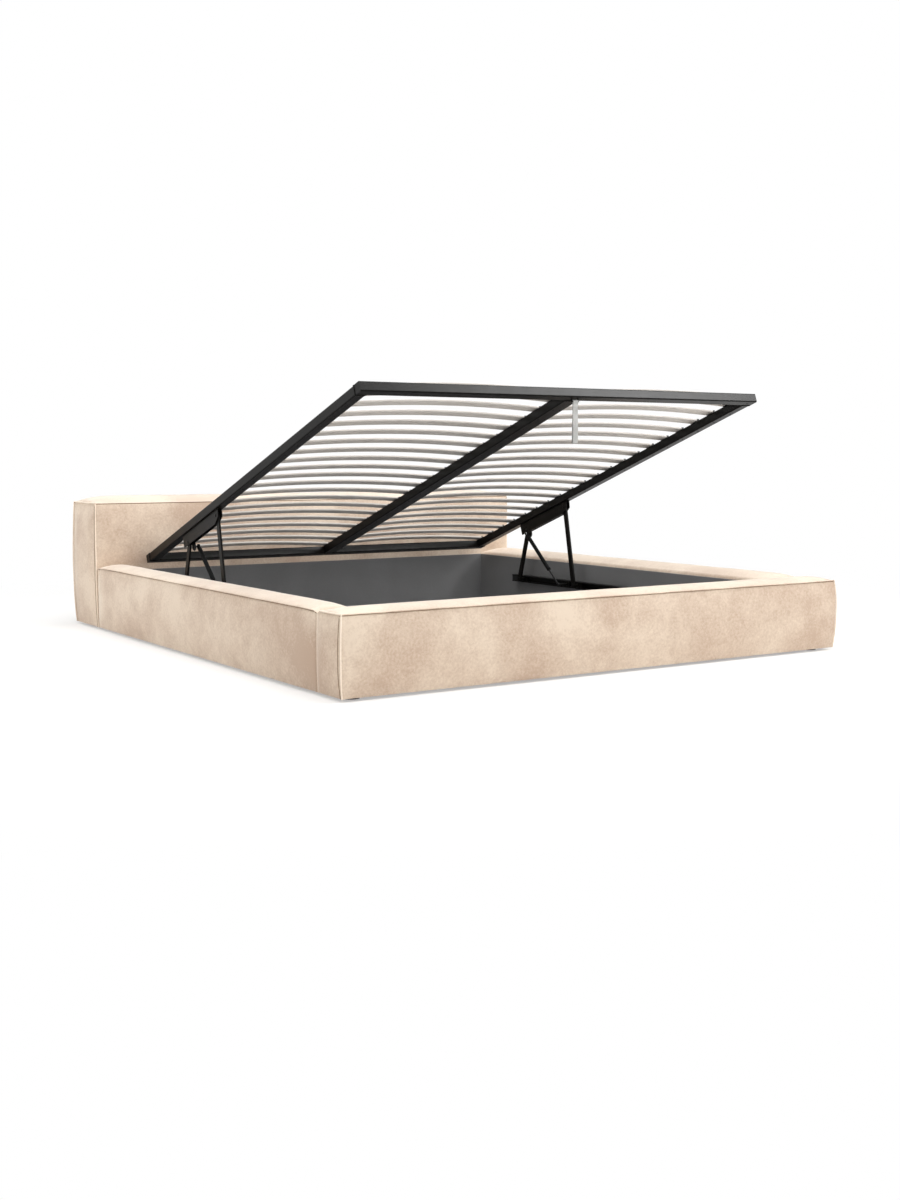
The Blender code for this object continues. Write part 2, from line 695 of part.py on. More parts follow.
def build_track(side):
    """Track, with the fixed stud of the strut on an ear across its lips."""
    start = FRONT_FOOT[0] - CARRIAGE_TRAVEL - CARRIAGE_SHOE / 2 - TRACK_FRONT_ROOM
    end = REAR_FOOT[0] + CARRIAGE_SHOE / 2 + TRACK_REAR_ROOM
    track = prism("lift_track_" + side_name(side), track_profile(side), start, end, along_y)
    y = STRUT_FOOT[0]
    ear_ends = sorted((side * (TRACK_FRONT - TRACK_WALL), side * (TRACK_FRONT + TRACK_WALL / 2)))
    ear_top = TRACK_BASE + TRACK_HEIGHT - TRACK_WALL
    ear_outline = rectangle(y - EAR_LENGTH / 2, y + EAR_LENGTH / 2, TRACK_BASE + TRACK_WALL, ear_top)
    ear = prism("ear", ear_outline, *ear_ends, along_x)
    stud_ends = sorted((side * (STRUT_X + EYE_THICKNESS / 2 + PIVOT_CLEARANCE), side * TRACK_FRONT))
    stud = pin("stud", STRUT_FOOT, STUD_FOOT_RADIUS, *stud_ends)
    dress(fuse(track, ear, stud), BLACK_STEEL)


def build_carriage(side):
    """Carriage: a bar with a shoe at each pivot, and bosses that reach out to the arms' feet."""
    low = TRACK_BASE + TRACK_WALL + GAP
    high = TRACK_BASE + TRACK_HEIGHT - TRACK_WALL - GAP
    wall = TRACK_WALL + GAP
    shoe_low, shoe_high = sorted((side * (TRACK_FRONT + wall), side * (TRACK_BACK - wall)))
    bar_middle = side * (TRACK_FRONT + TRACK_BACK) / 2
    bar_reach = CARRIAGE_BAR / 2
    bar = block("carriage_" + side_name(side),
                (bar_middle - bar_reach, FRONT_FOOT[0], low + TRACK_WALL),
                (bar_middle + bar_reach, REAR_FOOT[0], high - TRACK_WALL))
    boss_ends = sorted((side * (LIFT_PLANE + ARM_THICKNESS / 2 + PIVOT_CLEARANCE), bar_middle))
    for y, z in (FRONT_FOOT, REAR_FOOT):
        reach = CARRIAGE_SHOE / 2
        shoe = block("shoe", (shoe_low, y - reach, low), (shoe_high, y + reach, high))
        fuse(bar, shoe, pin("boss", (y, z), BOSS_RADIUS, *boss_ends))
    dress(bar, BLACK_STEEL)


def round_bar(name, radius, top, bottom):
    return prism(name, circle((0.0, 0.0), radius), bottom, top, along_z)


def build_strut(side, axis, origin):
    """Gas strut: a cylinder that hangs from the frame, and in it the rod that ends at the track's stud."""
    stud = frame_place(STRUT_STUD_ALONG, -STRUT_STUD_DOWN)
    length, turn = swing(stud, STRUT_FOOT)
    name = "strut_cylinder_" + side_name(side)
    cylinder = round_bar(name, STRUT_RADIUS, -EYE_RADIUS / 2, -STRUT_BODY_LENGTH)
    half = EYE_THICKNESS / 2
    reach = STRUT_RADIUS * 2
    fuse(cylinder, pin("eye", (0.0, 0.0), EYE_RADIUS, -half, half))
    hole = pin("hole", (0.0, 0.0), STUD_RADIUS + PIN_CLEARANCE, -reach, reach)
    flats = [block("flat", (start, -reach, -EYE_RADIUS), (start + reach, reach, EYE_RADIUS))
             for start in (half, -half - reach)]
    bore = round_bar("bore", ROD_RADIUS + ROD_CLEARANCE, -BORE_END_WALL, -STRUT_BODY_LENGTH - OVERRUN)
    cut(cylinder, hole, *flats, bore)
    place = origin + Vector((side * STRUT_X, -STRUT_STUD_ALONG, -STRUT_STUD_DOWN))
    dress(cylinder, BLACK_STEEL, axis, place, turn + OPEN_ANGLE)
    rod = round_bar("strut_rod_" + side_name(side), ROD_RADIUS, ROD_LENGTH, EYE_RADIUS / 2)
    fuse(rod, pin("eye", (0.0, 0.0), EYE_RADIUS, -half, half))
    dress(rod, ROD_STEEL, cylinder, (0.0, 0.0, -length))


def build_strap(axis, origin):
    """Loop of webbing that hangs straight down from the staple."""
    half = STRAP_WIDTH / 2
    strap = pin("pull_strap", (0.0, 0.0), STRAP_LOOP_RADIUS, -half, half)
    tail = rectangle(-STRAP_THICKNESS / 2, STRAP_THICKNESS / 2, -STRAP_LENGTH, 0.0)
    fuse(strap, prism("tail", tail, -half, half, along_x))
    cut(strap, pin("hole", (0.0, 0.0), STAPLE_RADIUS + PIN_CLEARANCE, -STRAP_WIDTH, STRAP_WIDTH))
    place = origin + Vector((0.0, TUBE_WIDTH / 2 - FRAME_LENGTH, -STAPLE_DROP))
    dress(strap, WEBBING, axis, place, OPEN_ANGLE)


def build_frame():
    axis = bpy.data.objects.new("lift_axis", None)
    bpy.context.scene.collection.objects.link(axis)
    axis.location = (0.0, *POLE)
    axis.rotation_euler = (-OPEN_ANGLE, 0.0, 0.0)
    origin = Vector((0.0, *EDGE_FROM_POLE))

    def place(piece, finish):
        return dress(piece, finish, axis, origin)

    build_tubes(place)
    build_slats(place)
    build_strap(axis, origin)
    for side in (-1, 1):
        place(lift_bracket(side), BLACK_STEEL)
        build_track(side)
        build_carriage(side)
        build_arms(side, axis, origin)
        build_strut(side, axis, origin)


def main():
    for item in list(bpy.data.objects):
        bpy.data.objects.remove(item)
    build_upholstery()
    build_linings()
    build_bottom()
    build_corners()
    build_frame()
    bpy.context.view_layer.update()


main()
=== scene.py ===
# %% [markdown]
# # A storage bed in champagne velvet, with its slatted frame raised
#
# The steel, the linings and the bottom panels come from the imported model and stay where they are.
# This script gives them their finishes, and models what a needle, a press or a welding torch makes:
# the padded velvet boards with their piped seams, the bowed slats in their holders, the webbing
# strap, the weld beads and the small fixings.

# %% Load the frame
import json
from functools import partial
from math import cos, exp, hypot, pi, radians, sin, sqrt

import bmesh
import bpy
from mathutils import Matrix, Vector, noise


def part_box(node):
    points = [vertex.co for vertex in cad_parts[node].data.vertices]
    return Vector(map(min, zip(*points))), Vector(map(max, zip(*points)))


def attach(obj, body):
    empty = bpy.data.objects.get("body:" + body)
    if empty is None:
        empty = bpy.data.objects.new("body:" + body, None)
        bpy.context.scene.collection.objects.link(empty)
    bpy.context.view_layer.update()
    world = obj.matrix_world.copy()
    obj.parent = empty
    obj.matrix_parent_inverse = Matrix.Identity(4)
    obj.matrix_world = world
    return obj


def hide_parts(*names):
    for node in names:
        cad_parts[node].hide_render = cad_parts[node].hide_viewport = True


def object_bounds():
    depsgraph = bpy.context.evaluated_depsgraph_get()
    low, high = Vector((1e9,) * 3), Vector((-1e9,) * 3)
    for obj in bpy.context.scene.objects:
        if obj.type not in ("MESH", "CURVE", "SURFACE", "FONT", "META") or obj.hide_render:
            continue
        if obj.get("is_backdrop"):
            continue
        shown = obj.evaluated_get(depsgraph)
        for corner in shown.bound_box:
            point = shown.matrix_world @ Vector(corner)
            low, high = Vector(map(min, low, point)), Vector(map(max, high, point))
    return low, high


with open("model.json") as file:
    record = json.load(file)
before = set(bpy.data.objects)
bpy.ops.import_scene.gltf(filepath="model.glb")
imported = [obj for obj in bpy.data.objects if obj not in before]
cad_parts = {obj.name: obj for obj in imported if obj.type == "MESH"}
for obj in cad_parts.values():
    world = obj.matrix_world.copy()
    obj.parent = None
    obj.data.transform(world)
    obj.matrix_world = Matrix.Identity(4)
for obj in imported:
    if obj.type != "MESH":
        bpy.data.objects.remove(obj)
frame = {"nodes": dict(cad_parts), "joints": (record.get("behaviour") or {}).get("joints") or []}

cad_low, cad_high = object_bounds()
nodes = frame["nodes"]
print("CAD box", [round(v, 3) for v in (*cad_low, *cad_high)])

# %% [markdown]
# ## Sizes taken from the frame
#
# A node's box tells where it stands. The padded boards swell a little past their seams, so the seam
# lines lie inside those boxes by the amounts named here.

# %% Seam lines of the four padded boards
MM = 0.001
FACE_SWELL = 9 * MM
SIDE_SWELL = 8 * MM
COVER_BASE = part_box("headboard")[0].z
RAIL_SEAM, HEAD_SEAM = 0.273, 0.552     # heights of the piped top seams
HALF_WIDTH = cad_high.x - SIDE_SWELL
FOOT_FACE = cad_low.y + FACE_SWELL
HEAD_FACE = cad_high.y - FACE_SWELL
RAIL_LOW, RAIL_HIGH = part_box("side_rail_right")
RAIL_THICKNESS = HALF_WIDTH - RAIL_LOW.x
FOOT_THICKNESS = RAIL_LOW.y - FOOT_FACE
HEAD_THICKNESS = HEAD_FACE - RAIL_HIGH.y
print("thicknesses", round(RAIL_THICKNESS, 4), round(FOOT_THICKNESS, 4), round(HEAD_THICKNESS, 4))

# %% [markdown]
# ## The camera
#
# The photograph was taken from the left of the foot, a little above the rails. Only the camera's
# place, its turn and its lens are needed: the frame is not shifted.

# %% Camera
CAMERA_PLACE = (-3.168, -5.020, 0.760)
CAMERA_TURN = radians(33.197)
CAMERA_DIP = radians(5.860)
SENSOR = 36.0
FOCAL_PIXELS = 1410.9
PHOTO_HEIGHT = 1200


def put_in_scene(name, data):
    """An object made of some data, at the origin."""
    thing = bpy.data.objects.new(name, data)
    bpy.context.scene.collection.objects.link(thing)
    return thing


camera = put_in_scene("camera", bpy.data.cameras.new("camera"))
camera.data.sensor_width = SENSOR
camera.data.lens = FOCAL_PIXELS / PHOTO_HEIGHT * SENSOR
camera.location = CAMERA_PLACE
camera.rotation_euler = (pi / 2 - CAMERA_DIP, 0.0, -CAMERA_TURN)
bpy.context.scene.camera = camera
print("lens", round(camera.data.lens, 2), "mm")

# %% [markdown]
# ## Helpers for every node tree
#
# Colours are written as they look on a screen, in sRGB hex, and turned to linear light once. One
# function adds a node, sets its values and joins its sockets, for shaders and geometry alike. Another
# starts a material.

# %% Colour and node helpers
def linear(hex_colour):
    """An sRGB hex colour as linear red, green and blue, with a full alpha."""
    parts = [int(hex_colour[start:start + 2], 16) / 255 for start in (1, 3, 5)]
    return (*[p / 12.92 if p <= 0.04045 else ((p + 0.055) / 1.055) ** 2.4 for p in parts], 1.0)


def set_inputs(node, inputs):
    """Give each socket a value, or another node or its output to follow."""
    for key, value in inputs.items():
        if isinstance(value, bpy.types.Node):
            value = value.outputs[0]
        if isinstance(value, bpy.types.NodeSocket):
            node.id_data.links.new(value, node.inputs[key])
        else:
            node.inputs[key].default_value = value
    return node


def add_node(tree, kind, inputs=None, **settings):
    """Add a node with its settings, and set or link its inputs."""
    made = tree.nodes.new(kind)
    for name, value in settings.items():
        setattr(made, name, value)
    return set_inputs(made, inputs or {})


def new_material(name, roughness, specular):
    """A material, the add for its tree, its shader, and each point's place on the object."""
    material = bpy.data.materials.new(name)
    material.use_nodes = True
    add = partial(add_node, material.node_tree)
    shader = set_inputs(material.node_tree.nodes["Principled BSDF"],
                        {"Roughness": roughness, "Specular IOR Level": specular})
    return material, add, shader, add("ShaderNodeTexCoord").outputs["Object"]


FACTOR, FIRST_COLOUR, SECOND_COLOUR, MIXED = 0, 6, 7, 2     # sockets of a Mix node set to colours
print("helpers ready")

# %% [markdown]
# ## Velvet
#
# Velvet is a short pile of fibres that stand on a woven ground. Where a hand has stroked the pile it
# lies another way and gives back more or less light, so one dyed colour shows pale and dark patches:
# wide ones a hand's breadth across, and brushed strokes a finger wide. Sheen gives the pale rim that
# a pile has where it turns away. Level tops get a paler, creamy colour mixed in: a painted highlight.

# %% Velvet: polyester pile, woven and brushed
VELVET_ROUGHNESS, VELVET_SPECULAR = 0.85, 0.2
SHEEN, SHEEN_ROUGHNESS, SHEEN_TINT = 0.65, 0.3, "#FFFDF8"
# Painted highlight: level tops get this paler colour mixed in, as if lit from above.
TOP_HIGHLIGHT_COLOUR, TOP_HIGHLIGHT_SHARE = "#E9DCCD", 0.40
TOP_FROM, TOP_TO = 0.6, 1.0        # how level a face is: the height of its normal
LEAN_FROM, LEAN_TO = 0.41, 0.59    # the summed patterns, from dark to pale
TUFT_DEPTH, STROKE_DEPTH = 0.7 * MM, 1.4 * MM
# Size, weight, detail, roughness and distortion of the hand's patches, of the strokes, and of tufts
# of pile that lean together, since single fibres are too fine to show.
PILE = ((300 * MM, 0.52, 2.0, 0.5, 0.0), (55 * MM, 0.18, 3.0, 0.6, 0.6), (9 * MM, 0.30, 3.0, 0.75, 0.0))


def make_velvet(name, pale, dark):
    material, add, shader, place = new_material(name, VELVET_ROUGHNESS, VELVET_SPECULAR)
    lean, patterns = 0.0, []
    for size, weight, detail, rough, twist in PILE:
        patterns.append(add("ShaderNodeTexNoise", {
            "Vector": place, "Scale": 1 / size, "Detail": detail, "Roughness": rough,
            "Distortion": twist}))
        lean = add("ShaderNodeMath", {0: patterns[-1], 1: weight, 2: lean}, operation="MULTIPLY_ADD")
    shade = add("ShaderNodeMapRange", {"Value": lean, "From Min": LEAN_FROM, "From Max": LEAN_TO})
    colour = add("ShaderNodeMix", {
        FACTOR: shade, FIRST_COLOUR: linear(dark), SECOND_COLOUR: linear(pale)}, data_type="RGBA")
    normal = add("ShaderNodeNewGeometry").outputs["Normal"]
    upward = add("ShaderNodeSeparateXYZ", {"Vector": normal}).outputs["Z"]
    # Painted highlight: the more a face looks up, the more of the pale top colour it gets.
    level = add("ShaderNodeMapRange", {
        "Value": upward, "From Min": TOP_FROM, "From Max": TOP_TO, "To Max": TOP_HIGHLIGHT_SHARE})
    highlighted_tops = add("ShaderNodeMix", {
        FACTOR: level, FIRST_COLOUR: colour.outputs[MIXED], SECOND_COLOUR: linear(TOP_HIGHLIGHT_COLOUR)},
        data_type="RGBA")
    _, stroke, tuft = patterns
    ground = add("ShaderNodeBump", {"Height": tuft, "Distance": TUFT_DEPTH, "Strength": 0.35})
    pressed = add("ShaderNodeBump", {
        "Height": stroke, "Distance": STROKE_DEPTH, "Strength": 0.25, "Normal": ground})
    set_inputs(shader, {"Base Color": highlighted_tops.outputs[MIXED], "Normal": pressed, "Sheen Weight": SHEEN,
                        "Sheen Roughness": SHEEN_ROUGHNESS, "Sheen Tint": linear(SHEEN_TINT)})
    return material


velvet = make_velvet("brushed_polyester_velvet", "#D8C7B4", "#BBA491")
# Painted highlight: the corner piping is coloured much paler than the velvet it is made of.
piping = make_velvet("velvet_piping_painted_highlight", "#F2E4D3", "#E3D2C0")
# Painted shadow: a dark brown velvet for the cords that stand for the shade in folded seams.
seam_shadow_velvet = make_velvet("velvet_painted_seam_shadow", "#917A65", "#7C6651")
thread = make_velvet("spun_polyester_thread", "#D9C4AC", "#C9B299")
print("velvet", velvet.name)

# %% [markdown]
# ## Padded boards
#
# Each board is a timber box with foam glued on and a velvet cover sewn to fit. A grid over the six
# faces of a box holds this well: its edges are the seams, and its other points are free to swell.
# The cells are small next to a seam, where the cloth turns, and wide in the middle.

# %% A grid over a box
SEAM_LINES = (3.5 * MM, 7 * MM, 12 * MM, 18 * MM)    # how far inside a seam its grid lines lie
STITCH_COLUMN = 3        # the one that carries the stitches, counted from 1


def graded(start, end, cell, edge):
    """Places from start to end, a cell apart, and closer within an edge's width of both ends."""
    near = [start] + [start + inside for inside in SEAM_LINES]
    far = [end - inside for inside in reversed(SEAM_LINES)] + [end]
    count = max(2, round((end - start - 2 * edge) / cell))
    step = (end - start - 2 * edge) / count
    return near + [start + edge + step * index for index in range(count + 1)] + far


def box_grid(counts):
    """Grid keys and quads of the six faces of a box with so many points each way."""
    last = [count - 1 for count in counts]
    keys = {}
    quads = []
    for fixed in range(3):
        u, v = [axis for axis in range(3) if axis != fixed]
        for level in (0, last[fixed]):
            for i in range(last[u]):
                for j in range(last[v]):
                    corners = []
                    for step_u, step_v in ((0, 0), (1, 0), (1, 1), (0, 1)):
                        key = [0, 0, 0]
                        key[fixed], key[u], key[v] = level, i + step_u, j + step_v
                        corners.append(keys.setdefault(tuple(key), len(keys)))
                    quads.append(corners)
    return keys, quads


def new_mesh_object(name, points, faces, material, edges=()):
    """A mesh object at the origin, its faces turned outwards."""
    mesh = bpy.data.meshes.new(name)
    mesh.from_pydata([tuple(point) for point in points], edges, faces)
    shape = bmesh.new()
    shape.from_mesh(mesh)
    bmesh.ops.recalc_face_normals(shape, faces=shape.faces)
    shape.to_mesh(mesh)
    shape.free()
    if material:
        mesh.materials.append(material)
        mesh.shade_smooth()
    return put_in_scene(name, mesh)


print("grid helper ready")

# %% [markdown]
# ### How a cover swells, turns and puckers
#
# Foam pushes the middle of a panel out, and a seam holds it back. Where a board ends against its
# neighbour the cover turns over a soft edge. Gathers cross the seams and fade away from them.

# %% Swell, soft edges and gathers
END_ROLL, CORNER_ROLL = 110 * MM, 60 * MM    # the foam is full so far from an end or a free corner
ARCH_POWER = 2.6                             # a higher power is flatter in the middle
EDGE_BULGE, BULGE_LOSS = 7 * MM, 0.6         # swell at a free corner, and its loss to the inner face
SEAM_DIP, SEAM_WIDTH = 4.6 * MM, 2 * MM
STITCH_DIP, STITCH_WIDTH = 2.4 * MM, 2.5 * MM
PUCKER, PUCKER_PITCH = 1.1 * MM, 38 * MM
PUCKER_START, PUCKER_REACH = 4 * MM, 26 * MM
TOP_FADE, FOOT_FADE = 3, 6                   # how fast puckers end at the inner edge and the base
SLACK, SLACK_SIZE = 1.5 * MM, 170 * MM


def arch(share):
    """How full a panel stands between two seams, from 0 at a seam to 1 in the middle."""
    return 1 - abs(2 * share - 1) ** ARCH_POWER


def fullness(distance, roll=END_ROLL):
    """How full the padding is at a distance from the end of its run."""
    left = max(0.0, 1 - distance / roll)
    return sqrt(1 - left * left)


def turned_edge(u, v, radius):
    """Distances inside two faces that meet, moved onto a round edge of that radius."""
    if u >= radius or v >= radius:
        return u, v
    reach = hypot(radius - u, radius - v)
    return radius - (radius - u) / reach * radius, radius - (radius - v) / reach * radius


def seam_dip(distance):
    """The valley beside a piped seam, and the shallower one that a row of stitches draws in."""
    beside = (distance - SEAM_LINES[0]) / SEAM_WIDTH
    stitched = (distance - SEAM_LINES[STITCH_COLUMN - 1]) / STITCH_WIDTH
    return SEAM_DIP * exp(-beside * beside) + STITCH_DIP * exp(-stitched * stitched)


def gathers(point, distance):
    """Small puckers across a seam, and the wide hollows of loose cloth."""
    fade = exp(-distance / PUCKER_REACH) * min(1.0, distance / PUCKER_START)
    return PUCKER * noise.noise(point / PUCKER_PITCH) * fade + SLACK * noise.noise(point / SLACK_SIZE)


print("cover helpers ready")

# %% [markdown]
# ### One padded board
#
# The four boards follow one recipe. It places each point of the grid on the cover, says which points
# are held, and hands out the lines that the seams follow. The inner edge of the top is rolled over
# foam, and where a board meets its neighbour both turn in.

# %% One padded board
CELL, EDGE = 20 * MM, 28 * MM    # the grid's cells, and the width of the fine ones at a seam
DRAW_IN = 7 * MM                 # how far a rail's cover sinks where it meets its neighbour
JOINT_EDGE = 13 * MM


class Board:
    """A padded board. Its grid runs across, from outer to inner face, then along, then up."""

    def __init__(self, node, thickness, ends, seam, crown, roll, place, free_ends, front=None):
        self.node, self.thickness, self.place = node, thickness, place
        self.start, self.end = ends
        self.seam, self.crown, self.roll = seam, crown, roll
        self.free_ends, self.front = free_ends, front
        self.steps = (graded(0.0, thickness, CELL, EDGE), graded(self.start, self.end, CELL, EDGE),
                      graded(COVER_BASE, seam, CELL, EDGE))
        self.last = tuple(len(steps) - 1 for steps in self.steps)

    def spot(self, key):
        """Where the cover lies at one point of the grid."""
        i, j, k = key
        a, b, h = (steps[index] for steps, index in zip(self.steps, key))
        thickness, seam, roll = self.thickness, self.seam, self.roll
        free, front = self.free_ends, self.front
        inner_face, on_top = i == self.last[0], k == self.last[2]
        point = Vector((a, b, h))
        from_end = min(b - self.start, self.end - b)
        full = fullness(from_end)
        drawn = 0.0 if free else DRAW_IN * (1 - full)
        up = (h - COVER_BASE) / (seam - COVER_BASE)
        x, z = a + drawn * (1 - a / thickness), h - drawn * up
        top, shoulder = seam - drawn, thickness - roll
        if on_top:
            z += self.crown * full * arch(min(1.0, a / shoulder))
            z += gathers(point, min(a, from_end)) * min(1.0, TOP_FADE * (1 - a / thickness))
        if on_top and a > shoulder:
            turn = (a - shoulder) / roll * pi / 4
            x, z = shoulder + roll * sin(turn), top - roll + roll * cos(turn)
        elif inner_face and top - z < roll:
            turn = pi / 4 + (top - z) / roll * pi / 4
            x, z = shoulder + roll * sin(turn), top - roll + roll * cos(turn)
        elif inner_face and front and h > front[1]:
            share = (h - front[1]) / (seam - roll - front[1])
            x += front[0] * full * arch(share) + gathers(point, min(seam - h, from_end))
        elif i == 0:
            bulge = EDGE_BULGE if free else 0.0
            x -= (bulge + (FACE_SWELL - bulge) * full) * arch(up) - seam_dip(seam - h)
            x -= gathers(point, min(seam - h, from_end)) * min(1.0, FOOT_FADE * up)
        side = 1 if b > (self.start + self.end) / 2 else -1
        if free and j in (0, self.last[1]):
            near = min(a, thickness - a)
            bulge = EDGE_BULGE * (1 - BULGE_LOSS * a / thickness)
            b += side * (bulge + (SIDE_SWELL - bulge) * fullness(near, CORNER_ROLL)) * arch(up)
            b -= side * seam_dip(min(near, seam - h))
            b += side * gathers(point, min(near, seam - h)) * min(1.0, FOOT_FADE * up)
        if free and not front:
            inner, inward = turned_edge(thickness - x, from_end, JOINT_EDGE)
            if (inner, inward) != (thickness - x, from_end):
                x, b = thickness - inner, b - side * (inward - from_end)
        if not free:
            x, inward = turned_edge(x, from_end, JOINT_EDGE)
            b -= side * (inward - from_end)
            down, _ = turned_edge(max(0.0, top - z), inward, JOINT_EDGE)
            z = min(z, top - down) if from_end < JOINT_EDGE else z
        return self.place(x, b, z)

    def held(self, key):
        """True where thread, staples or a neighbour hold the cover."""
        i, j, k = key
        tied = [min(index, last - index) < len(SEAM_LINES) for index, last in zip(key, self.last)]
        if i == self.last[0]:
            return not self.front or tied[1] or tied[2] or self.steps[2][k] < self.front[1]
        if i == 0:
            return tied[1] or tied[2]
        if k == self.last[2]:
            return tied[0] or tied[1] or self.steps[0][i] > self.thickness - self.roll
        return k == 0 or not self.free_ends or tied[0] or tied[2]

    def build(self):
        self.keys, quads = box_grid([len(steps) for steps in self.steps])
        points = [self.spot(key) for key in self.keys]
        self.cover = new_mesh_object(self.node + "_cover", points, quads, velvet)
        return self.cover

    def path(self, keys):
        """The cover's points under a run of grid keys."""
        return [self.cover.data.vertices[self.keys[key]].co.copy() for key in keys]


print("board recipe ready")

# %% [markdown]
# ### The four boards
#
# Headboard and footboard reach from side to side. The rails stand between them, so they are drawn in
# at both ends, and only the headboard has a padded front.

# %% The four boards
SIDE_TO_SIDE = (-HALF_WIDTH, HALF_WIDTH)
JOINT_TO_JOINT = (RAIL_LOW.y, RAIL_HIGH.y)
HEAD_CROWN, HEAD_ROLL = 26 * MM, 12 * MM    # swell of the top, and radius of its inner edge
LOW_CROWN, LOW_ROLL = 16 * MM, 26 * MM
HEAD_FRONT = (12 * MM, 0.300)               # swell of its front, and the height that it starts at
boards = {board.node: board for board in (
    Board("headboard", HEAD_THICKNESS, SIDE_TO_SIDE, HEAD_SEAM, HEAD_CROWN, HEAD_ROLL,
          lambda a, b, h: (b, HEAD_FACE - a, h), True, HEAD_FRONT),
    Board("footboard", FOOT_THICKNESS, SIDE_TO_SIDE, RAIL_SEAM, LOW_CROWN, LOW_ROLL,
          lambda a, b, h: (b, FOOT_FACE + a, h), True),
    Board("side_rail_left", RAIL_THICKNESS, JOINT_TO_JOINT, RAIL_SEAM, LOW_CROWN, LOW_ROLL,
          lambda a, b, h: (a - HALF_WIDTH, b, h), False),
    Board("side_rail_right", RAIL_THICKNESS, JOINT_TO_JOINT, RAIL_SEAM, LOW_CROWN, LOW_ROLL,
          lambda a, b, h: (HALF_WIDTH - a, b, h), False))}
for board in boards.values():
    print(board.build().name, len(board.keys), "points")

# %% [markdown]
# ### Let the foam push
#
# Blender's cloth, with pressure inside and gravity off, lets each panel find its own tension between
# the points that are held. How far a point may move is capped, so the board keeps its size.

# %% Cloth under pressure
CLOTH_FRAMES = 20
CLOTH_PRESSURE = 4.0
CLOTH_CAP = 5 * MM


def inflate(board):
    """Run the cover as cloth for a few frames, and keep the capped result in its mesh."""
    cover = board.cover
    seams = cover.vertex_groups.new(name="held")
    seams.add([index for key, index in board.keys.items() if board.held(key)], 1.0, "REPLACE")
    cloth = cover.modifiers.new("Cloth", "CLOTH")
    cloth.settings.vertex_group_mass = "held"
    cloth.settings.use_pressure = True
    cloth.settings.uniform_pressure_force = CLOTH_PRESSURE
    cloth.settings.effector_weights.gravity = 0.0
    cloth.collision_settings.use_collision = False
    cloth.collision_settings.use_self_collision = False
    for number in range(1, CLOTH_FRAMES + 1):
        bpy.context.scene.frame_set(number)
    graph = bpy.context.evaluated_depsgraph_get()
    moved = [vertex.co.copy() for vertex in cover.evaluated_get(graph).data.vertices]
    cover.modifiers.clear()
    cover.vertex_groups.clear()
    furthest = 0.0
    for vertex, place in zip(cover.data.vertices, moved):
        push = place - vertex.co
        furthest = max(furthest, push.length)
        if push.length > CLOTH_CAP:
            push *= CLOTH_CAP / push.length
        vertex.co += push
    bpy.context.scene.frame_set(1)
    return furthest


for board in boards.values():
    print(board.node, "pushed out by up to", round(inflate(board) / MM, 1), "mm")

# %% [markdown]
# ### Hand the covers over
#
# One level of subdivision rounds the grid. Each cover takes the place of its plain node, and most of
# its bulk is the timber and foam inside.

# %% Smooth the covers and hand them over
for board in boards.values():
    smooth = board.cover.modifiers.new("Smooth cover", "SUBSURF")
    smooth.levels = 1
    smooth.render_levels = 1
    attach(board.cover, "base")
    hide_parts(board.node)
print("covers", len(boards))

# %% [markdown]
# ## Geometry Nodes for what repeats
#
# A tree is built in code with named inputs, run once on a source mesh, and its result kept as a
# plain mesh. The inputs are set by their identifiers before the tree first runs.

# %% Build and run a tree
def new_tree(name, **inputs):
    """The add for a new geometry tree, its named inputs at the values given, and its output node."""
    kinds = {int: "NodeSocketInt", float: "NodeSocketFloat", tuple: "NodeSocketVector"}
    tree = bpy.data.node_groups.new(name, "GeometryNodeTree")
    tree.interface.new_socket("Geometry", in_out="INPUT", socket_type="NodeSocketGeometry")
    tree.interface.new_socket("Geometry", in_out="OUTPUT", socket_type="NodeSocketGeometry")
    for label, value in inputs.items():
        socket = tree.interface.new_socket(label, in_out="INPUT", socket_type=kinds[type(value)])
        socket.default_value = value
    add = partial(add_node, tree)
    return add, add("NodeGroupInput").outputs, add("NodeGroupOutput")


def grow(name, tree, paths=(), place=Matrix.Identity(4), **sizes):
    """Run a tree over some paths, with its sizes set, and keep the result as a plain mesh."""
    points, edges = [], []
    for path in paths:
        edges += [(len(points) + index, len(points) + index + 1) for index in range(len(path) - 1)]
        points += path
    source = new_mesh_object(name + "_source", points, [], None, edges)
    run = source.modifiers.new("Grow", "NODES")
    run.node_group = tree
    for socket in tree.interface.items_tree:
        if socket.in_out == "INPUT" and socket.name in sizes:
            run[socket.identifier] = sizes[socket.name]
    graph = bpy.context.evaluated_depsgraph_get()
    mesh = bpy.data.meshes.new_from_object(source.evaluated_get(graph))
    bpy.data.objects.remove(source)
    mesh.transform(place)
    return put_in_scene(name, mesh)


def joined(name, pieces):
    """Several plain meshes as one object."""
    shape = bmesh.new()
    for piece in pieces:
        shape.from_mesh(piece.data)
    mesh = bpy.data.meshes.new(name)
    shape.to_mesh(mesh)
    shape.free()
    for material in pieces[0].data.materials:
        mesh.materials.append(material)
    for piece in pieces:
        bpy.data.objects.remove(piece)
    return put_in_scene(name, mesh)


print("tree helpers ready")

# %% [markdown]
# ## Piping and stitches
#
# The upholsterer closes the cover's edges with a piped seam: a cord in a strip of the same velvet,
# caught between the two panels. It is thick at the free corners and thin along the crests. The corner
# cords are coloured paler than the velvet, a painted highlight along those edges. Inside the seams a
# dark brown cord stands for the shade in the folds of cloth, a painted shadow, and a row of stitches
# runs there too.

